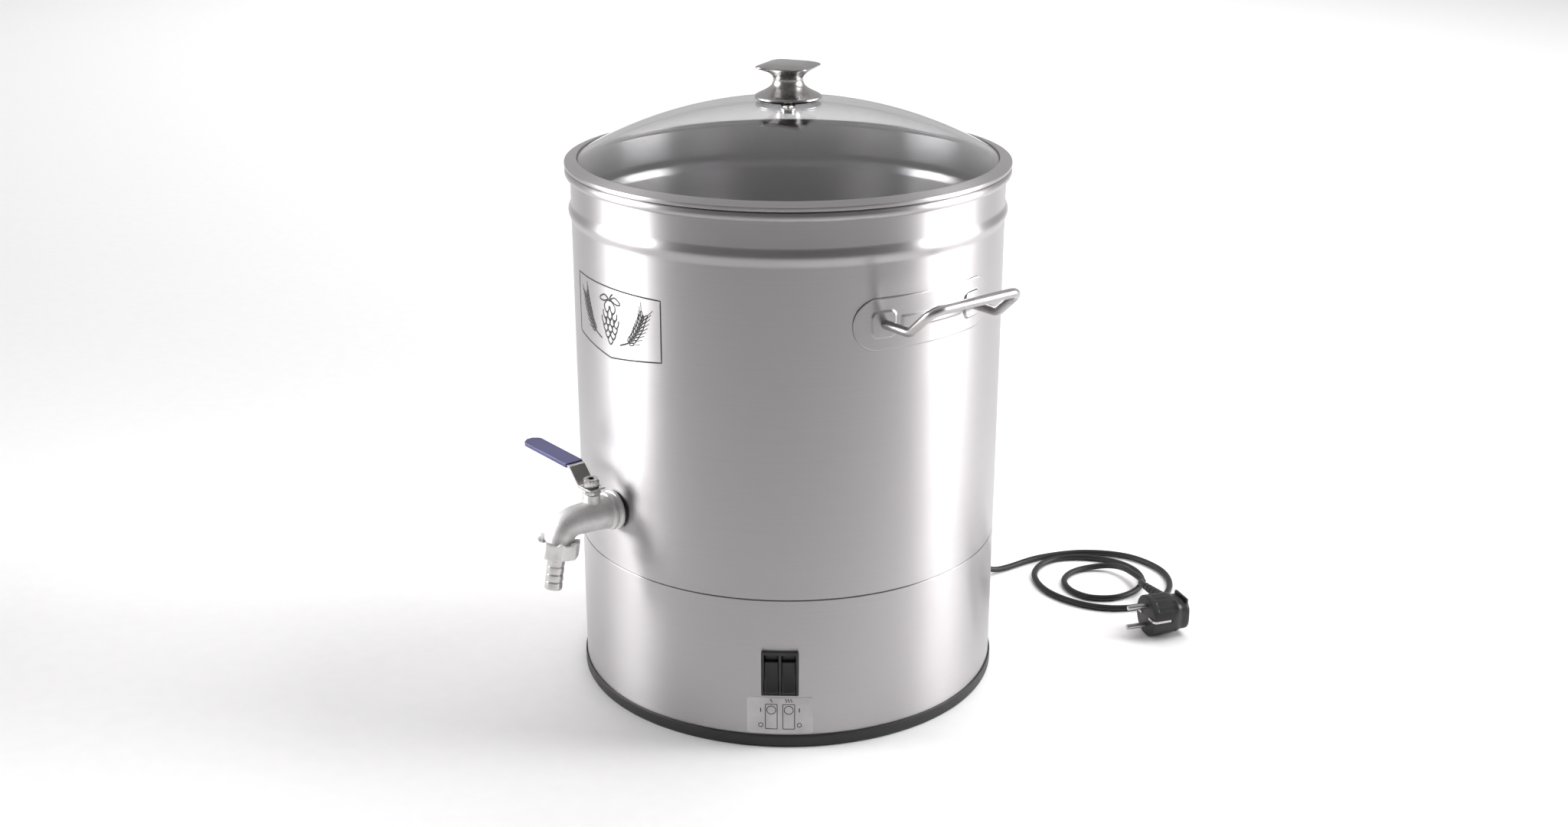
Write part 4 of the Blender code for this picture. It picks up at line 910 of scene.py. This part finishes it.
def make_knob():
    """A round flange and a waisted neck that open into a softly domed square top.

    A section is its half width, its height, and its roundness: 1 is a circle, 0 a rounded square.
    """
    top_half, corner = 0.0225, 0.0085
    sections = (
        (0.0250, 0.0000, 1.0),
        (0.0274, 0.0003, 1.0),
        (0.0278, 0.0012, 1.0),
        (0.0274, 0.0022, 1.0),
        (0.0250, 0.0037, 1.0),
        (0.0190, 0.0067, 1.0),
        (0.0145, 0.0099, 1.0),
        (0.0127, 0.0130, 1.0),
        (0.0124, 0.0155, 1.0),
        (0.0130, 0.0182, 1.0),
        (0.0160, 0.0212, 0.85),
        (0.0200, 0.0239, 0.35),
        (0.0219, 0.0253, 0.05),
        (0.0225, 0.0261, 0.0),
        (0.0219, 0.0269, 0.0),
        (0.0190, 0.0279, 0.0),
        (0.0140, 0.0290, 0.05),
        (0.0080, 0.0295, 0.3),
        (0.0030, 0.0297, 0.8),
    )
    around = 96
    fine = smooth_route([(s[0] * 10, s[1] * 10, s[2] * 0.1) for s in sections], 0.006)
    rings = [[(0, 0, 0)]]
    for spot in fine:
        half, height, roundness = spot.x / 10, spot.y / 10, min(max(spot.z * 10, 0.0), 1.0)
        ring = []
        for k in range(around):
            angle = 2 * math.pi * k / around
            c, s = math.cos(angle), math.sin(angle)
            flat = top_half - corner
            low, high = 0.0, top_half * 1.5
            for _ in range(24):
                middle = (low + high) / 2
                dx, dy = max(abs(c) * middle - flat, 0.0), max(abs(s) * middle - flat, 0.0)
                inside = math.hypot(dx, dy) < corner
                low, high = (middle, high) if inside else (low, middle)
            square = low * half / top_half
            reach = roundness * half + (1 - roundness) * square
            ring.append((reach * c, reach * s, height))
        rings.append(ring)
    rings.append([(0, 0, 0.0297)])
    stand_in("lid_knob", moved(solid(rings), shift(0, 0, KNOB_Z) @ turn(28.5, "Z")), "lid", sharp=60)


# ---- Tap --------------------------------------------------------------------------------------------
def make_tap():
    tap = at_wall(0, TAP_Z)
    wall_r = BODY_R + 0.0014
    bend = math.radians(TAP_BEND_DEG)
    points = [(wall_r + 0.0032, 0), (0.1885, 0), (0.1925, 0), (0.1960, 0), (TAP_STEM_X, 0), (0.2110, 0)]
    radii = [0.0146, 0.0144, 0.0141, 0.0137, 0.0132, 0.0127]
    steps = 22
    for k in range(steps + 1):
        angle = bend * k / steps
        points.append((TAP_BEND_X + TAP_BEND_R * math.sin(angle), -TAP_BEND_R * (1 - math.cos(angle))))
        radii.append(0.0123 - 0.0009 * k / steps)
    ahead = Vector((math.cos(bend), 0, -math.sin(bend)))
    end = Vector((points[-1][0], 0, points[-1][1]))
    tip = end + ahead * 0.0030
    points.append((tip.x, tip.z))
    radii.append(0.0113)
    flange = [
        (0, wall_r),
        (0.0164, wall_r, 0.0006),
        (0.0164, wall_r + 0.0028, 0.0007),
        (0.0148, wall_r + 0.0034, 0.0004),
        (0.0148, wall_r + 0.0048, 0.0004),
        (0.0159, wall_r + 0.0054, 0.0007),
        (0.0159, wall_r + 0.0082, 0.0008),
        (0.0142, wall_r + 0.0094),
        (0, wall_r + 0.0094),
    ]
    boss = [(0, 0.006), (0.0076, 0.006), (0.0070, 0.0135, 0.002), (0.0068, 0.0150), (0.0068, 0.0189)]
    boss.append((0, 0.0189))
    stem = tap @ shift(TAP_STEM_X, 0, 0)
    parts = [
        swept(points, radii, SMALL),
        turned(flange, SMALL, "X"),
        turned(disc(0.0102, 0.1660, wall_r + 0.002), SMALL, "X"),
        moved(turned(boss, SMALL), shift(TAP_STEM_X, 0, 0)),
    ]
    body = stand_in("tap_body", moved(joined(*parts), tap), sharp=60)
    remesh = body.modifiers.new("one skin", "REMESH")
    remesh.mode = "VOXEL"
    remesh.voxel_size = 0.0004
    remesh.use_smooth_shade = True
    ease = body.modifiers.new("ease", "SMOOTH")
    ease.factor = 0.5
    ease.iterations = 3
    settle(body)
    body.data.shade_smooth()

    hex_nut = chamfered_nut(0.0077, 0.0192, 0.0226, 0.0034, 12)
    stand_in("packing_nut", moved(hex_nut, stem))
    make_lever(stem @ turn(LEVER_AZIMUTH, "Z"))
    make_outlet(tap @ shift(*end) @ turn(TAP_BEND_DEG - 90, "Y"))


def make_lever(lever):
    """The lever, flat at the nut, then steep, then flat along the grip; its sleeve and its nut."""
    low, rise_start, rise_end, reach = 0.0238, 0.0080, 0.0200, 0.0835
    high, lift = 0.0373, 0.0026
    side = [
        (-0.0085, low, 0.0003),
        (rise_start, low, 0.0030),
        (rise_end, high, 0.0045),
        (reach, high + lift, 0.0003),
        (reach, high + lift + LEVER_SHEET, 0.0003),
        (rise_end - 0.0007, high + LEVER_SHEET, 0.0030),
        (rise_start - 0.0009, low + LEVER_SHEET, 0.0045),
        (-0.0085, low + LEVER_SHEET, 0.0003),
    ]
    strap = moved(sideways(filleted(side, 5), 0.0075), lever)
    arm = stand_in("tap_lever", strap, "tap_lever", bevel=0.0003)
    arm.modifiers["soft edges"].angle_limit = math.radians(50)
    tilt = -math.degrees(math.atan2(lift, reach - rise_end))
    grip = lever @ shift(rise_end, 0, high + LEVER_SHEET / 2) @ turn(tilt, "Y")
    half = 0.0083
    outline = [(0.0030, half, 0.0006), (0.0030, -half, 0.0006), (0.0630, -half, 0.0052)]
    outline += [(0.0672, -0.0028, 0.0020), (0.0672, 0.0028, 0.0020), (0.0630, half, 0.0052)]
    sleeve = prism(filleted(outline, 6), -0.0017, 0.0017)
    stand_in("lever_sleeve", moved(sleeve, grip), "tap_lever", bevel=0.0011, rounds=4)
    nut_low = low + LEVER_SHEET + GAP
    nut = chamfered_nut(0.0071, nut_low, nut_low + 0.0066, 0.0033, 30)
    stand_in("lever_nut", moved(nut, lever), "tap_lever")
    stud = turned([(0, 0.0230), (0.0030, 0.0230), (0.0030, 0.0320, 0.0005), (0, 0.0320)], 32)
    piece("tap_stem_end", moved(stud, lever), "tap_lever", (), "turned steel")


def make_outlet(outlet):
    top = -0.0053
    tail = [(0.0048, top), (0.0108, top), (0.0108, top - 0.0022), (0.0072, top - 0.0022)]
    for head in (-0.0185, -0.0250, -0.0315):
        tail += [(0.0073, head, 0.0002), (0.0066, head - 0.0004)]
        tail += [(0.0066, head - 0.0009), (0.0072, head - 0.0018)]
    tail += [(0.0073, -0.0380, 0.0003), (0.0068, -0.0390, 0.0003), (0.0048, -0.0390, 0.0003)]
    stand_in("hose_tail", moved(turned(tail, SMALL, steps=2), outlet), sharp=30)
    stand_in("union_nut", moved(castle_nut(), outlet), sharp=40, bevel=0.0003)


def castle_nut():
    """An eight-sided union nut, its top edge scalloped between the corners."""
    sides, around = 8, 96
    half = math.pi / sides
    flat = NUT_R * math.cos(half)
    # Up the outside, over the top and down the bore: radius (None outside), inset, height, scallop's rise.
    levels = (
        (None, 0.0007, -0.0108, 0.0),
        (None, 0.0, -0.0100, 0.0),
        (None, 0.0, 0.0012, 0.0018),
        (None, 0.0007, 0.0016, 0.0018),
        (0.0136, 0.0, 0.0012, 0.0018),
        (0.0128, 0.0, 0.0, 0.0),
        (0.0114, 0.0, -0.0078, 0.0),
        (0.0070, 0.0, -0.0080, 0.0),
        (0.0070, 0.0, -0.0108, 0.0),
    )
    rings = []
    for radius, inset, height, rise in levels:
        ring = []
        for k in range(around):
            angle = 2 * math.pi * k / around
            within = angle % (2 * half) - half
            scallop = smooth((abs(within) / half - 0.45) / 0.35)
            reach = (radius or min(flat / math.cos(within), NUT_R - 0.0002)) - inset
            ring.append(polar(reach, angle + half, height + rise * scallop))
        rings.append(ring)
    return solid(rings)


# ---- Mains lead -------------------------------------------------------------------------------------
def ribbed(root_r, tip_r, length, ribs, start):
    """Outline of a tapered strain relief with soft ribs, from (0, start)."""
    points = [(0, start), (root_r, start, 0.0004)]
    for n in range(ribs):
        share, after = (n + 0.55) / ribs, (n + 1) / ribs
        wide = root_r + (tip_r - root_r) * share
        narrow = wide - 0.0009
        points.append((wide, start + length * (share - 0.05), 0.0003))
        points.append((narrow, start + length * (share + 0.05), 0.0003))
        points.append((narrow, start + length * (after - 0.12), 0.0003))
        points.append((root_r + (tip_r - root_r) * after, start + length * (after - 0.02), 0.0003))
    points += [(tip_r, start + length, 0.0003), (0, start + length)]
    return points


def make_lead():
    gland = at_wall(180, GLAND_Z)
    relief = turned(ribbed(0.0052, 0.0036, 0.0220, 4, 0.1925), 40, "X", 2)
    relief = stand_in("strain_relief", moved(relief, gland))
    plug = shift(*PLUG_FACE) @ turn(PLUG_HEADING_DEG, "Z")
    pieces = make_plug(plug)
    boot_at = plug @ shift(0.0310, 0.0203, 0.0015) @ turn(-95, "X")
    boot = turned(ribbed(0.0058, 0.0036, BOOT_LENGTH, 6, 0.0), 40, steps=2)
    boot = stand_in("plug_boot", moved(boot, boot_at))
    ends = [boot_at @ Vector((0, 0, BOOT_LENGTH + past)) for past in (0.0100, GAP)]
    on_floor = [(x, y, CORD_R + 0.0002) for x, y in CORD_ON_FLOOR]
    seen = smooth_route([*CORD_DROP, *on_floor, *CORD_RISE, ends[0]], 0.0040)
    route = [Vector(CORD_EXIT), *seen, ends[1]]
    cord = rod("power_cord", route, CORD_R)


def make_plug(plug):
    """The plug's pieces: a round, ribbed drum with a smaller rear end and a pull lip, its pins and clips.

    A section of the drum is how far it lies behind the face, half its width and half its height.
    """
    sections = (
        (0.0000, 0.0168, 0.0168),
        (0.0006, 0.0180, 0.0180),
        (0.0016, 0.0185, 0.0185),
        (0.0180, 0.0185, 0.0185),
        (0.0225, 0.0180, 0.0178),
        (0.0262, 0.0166, 0.0158),
        (0.0280, 0.0158, 0.0144),
        (0.0300, 0.0155, 0.0140),
        (0.0345, 0.0152, 0.0138),
        (0.0366, 0.0142, 0.0128),
        (0.0375, 0.0120, 0.0108),
    )
    fine = smooth_route([tuple(10 * value for value in section) for section in sections], 0.006)
    rings = []
    for spot in fine:
        x, half_y, half_z = (min(max(value / 10, 0.0), PLUG_LENGTH) for value in spot)
        power = 2.1 + 1.5 * smooth((x - 0.020) / 0.010)
        ring = []
        for k in range(144):
            angle = 2 * math.pi * k / 144
            c, s = math.cos(angle), math.sin(angle)
            reach = (abs(c / half_y) ** power + abs(s / half_z) ** power) ** (-1 / power)
            within = smooth((x - 0.0040) / 0.0015) * smooth((0.0255 - x) / 0.004)
            within *= smooth((abs(s) - 0.45) / 0.15)
            reach -= 0.0010 * within * (0.5 + 0.5 * math.cos(2 * math.pi * c / 0.30))
            ring.append((x, reach * c, reach * s))
        rings.append(ring)
    body = stand_in("plug_body", moved(solid(rings, closed=False), plug), sharp=50)
    tools = []
    for side in (-1, 1):
        near, far = sorted((side * 0.0164, side * 0.0235))
        tools.append(moved(prism(rectangle(-0.005, 0.0176, near, far), -0.0016, 0.0016), plug))
    cut(body, *tools)
    outline = [(-0.0120, 0.0060), (0.0120, 0.0060), (0.0112, 0.0165, 0.0016), (-0.0112, 0.0165, 0.0016)]
    lip = moved(prism(filleted(outline), 0, 0.0022), plug @ shift(0.0338, 0, 0) @ UPRIGHT)
    pieces = [body, piece("plug_pull_lip", lip, "kettle", (), "black plastic", bevel=0.0004)]
    outline = [(0, 0.0040), (0.0086, 0.0040), (0.0078, 0.0160, 0.002), (0.0066, 0.0197, 0.0008), (0, 0.0197)]
    neck = moved(turned(outline, 40), plug @ shift(0.0305, 0, 0.0015) @ turn(-90, "X"))
    pieces.append(piece("plug_neck", neck, "kettle", (), "black plastic"))
    for name, side in (("upper", 1), ("lower", -1)):
        outline = [(0, 0.0055), (PIN_R, 0.0055), (PIN_R, -PIN_LENGTH, 0.0016), (0, -PIN_LENGTH)]
        pin = moved(turned(outline, 32, "X", 6), plug @ shift(0, 0, side * PIN_PITCH / 2))
        pieces.append(stand_in(f"plug_pin_{name}", pin))
    for name, side in (("front", -1), ("back", 1)):
        strip = [(0.0168, 0.0168), (0.0168, 0.0178), (0.0012, 0.0186, 0.0016), (-0.0010, 0.0160, 0.0010)]
        strip += [(-0.0010, 0.0072), (-0.0002, 0.0072), (-0.0002, 0.0158, 0.0008), (0.0014, 0.0176, 0.0010)]
        clip = moved(prism([(x, side * y) for x, y in filleted(strip)], -0.0011, 0.0011), plug)
        pieces.append(stand_in(f"earth_clip_{name}", clip, sharp=50))
    return pieces


# ---- Studio -----------------------------------------------------------------------------------------
def softbox(name, azimuth, distance, height, size, strength, aim=(0, 0, 0.25), spread=180, mirrored=True):
    """A large area light, its azimuth from the camera's side. One not mirrored has no reflection."""
    light = bpy.data.lights.new(name, "AREA")
    light.shape = "RECTANGLE"
    light.size, light.size_y = size
    light.energy = strength
    light.spread = math.radians(spread)
    lamp = bpy.data.objects.new(name, light)
    lamp.location = on_wall(distance, math.radians(VIEW_AZIMUTH + azimuth), height)
    lamp.visible_glossy = mirrored
    lamp.visible_transmission = mirrored
    lamp.rotation_euler = (Vector(aim) - lamp.location).to_track_quat("-Z", "Y").to_euler()
    bpy.context.scene.collection.objects.link(lamp)


def make_studio():
    bm = prism([(-9, -9), (9, -9), (9, 9), (-9, 9)], -0.02, 0.0)
    mesh = bpy.data.meshes.new("studio_floor")
    bm.to_mesh(mesh)
    bm.free()
    floor = bpy.data.objects.new("studio_floor", mesh)
    bpy.context.scene.collection.objects.link(floor)
    paper = Nodes("studio paper", (0.86, 0.855, 0.86), 0.75, 0.0)
    paper.colour(paper.noise(60), (0.85, 0.845, 0.85), (0.87, 0.865, 0.87))
    mesh.materials.append(paper.made)

    world = bpy.data.worlds.new("studio")
    world.use_nodes = True
    bpy.context.scene.world = world
    tree = world.node_tree
    background = tree.nodes["Background"]
    coordinates = tree.nodes.new("ShaderNodeTexCoord")
    # Dim near the horizon on the side that faces the kettle's front, bright overhead and behind.
    angle = math.radians(VIEW_AZIMUTH)
    aim = tree.nodes.new("ShaderNodeVectorMath")
    aim.operation = "DOT_PRODUCT"
    aim.inputs[1].default_value = (-0.8 * math.sin(angle), 0.8 * math.cos(angle), 0.8)
    tree.links.new(coordinates.outputs["Generated"], aim.inputs[0])
    ramp = tree.nodes.new("ShaderNodeMapRange")
    ramp.interpolation_type = "SMOOTHSTEP"
    for socket, value in zip(("From Min", "From Max", "To Min", "To Max"), (0.0, 0.80, 0.14, 0.60)):
        ramp.inputs[socket].default_value = value
    tree.links.new(aim.outputs["Value"], ramp.inputs["Value"])
    tree.links.new(ramp.outputs["Result"], background.inputs["Strength"])
    background.inputs["Color"].default_value = (1.0, 0.985, 0.99, 1.0)

    softbox("softbox_left", -91, 1.20, 1.05, (0.86, 1.60), 8, (0, 0, 0.80), 44)
    softbox("softbox_right", 91, 1.15, 1.05, (0.88, 1.60), 8, (0, 0, 0.80), 44)
    softbox("softbox_key", 106, 2.0, 2.9, (1.7, 1.7), 66, mirrored=False)
    away = Vector((-math.sin(angle), math.cos(angle), 0)) * 3.8
    softbox("softbox_far", 180, 3.8, 3.0, (5.4, 3.0), 135, away, mirrored=False)
    bpy.context.scene.view_settings.view_transform = "Standard"


set_camera()
make_vessel()
make_base()
make_switch()
make_label()
make_emblem()
make_handles()
make_lid()
make_tap()
make_lead()
make_studio()
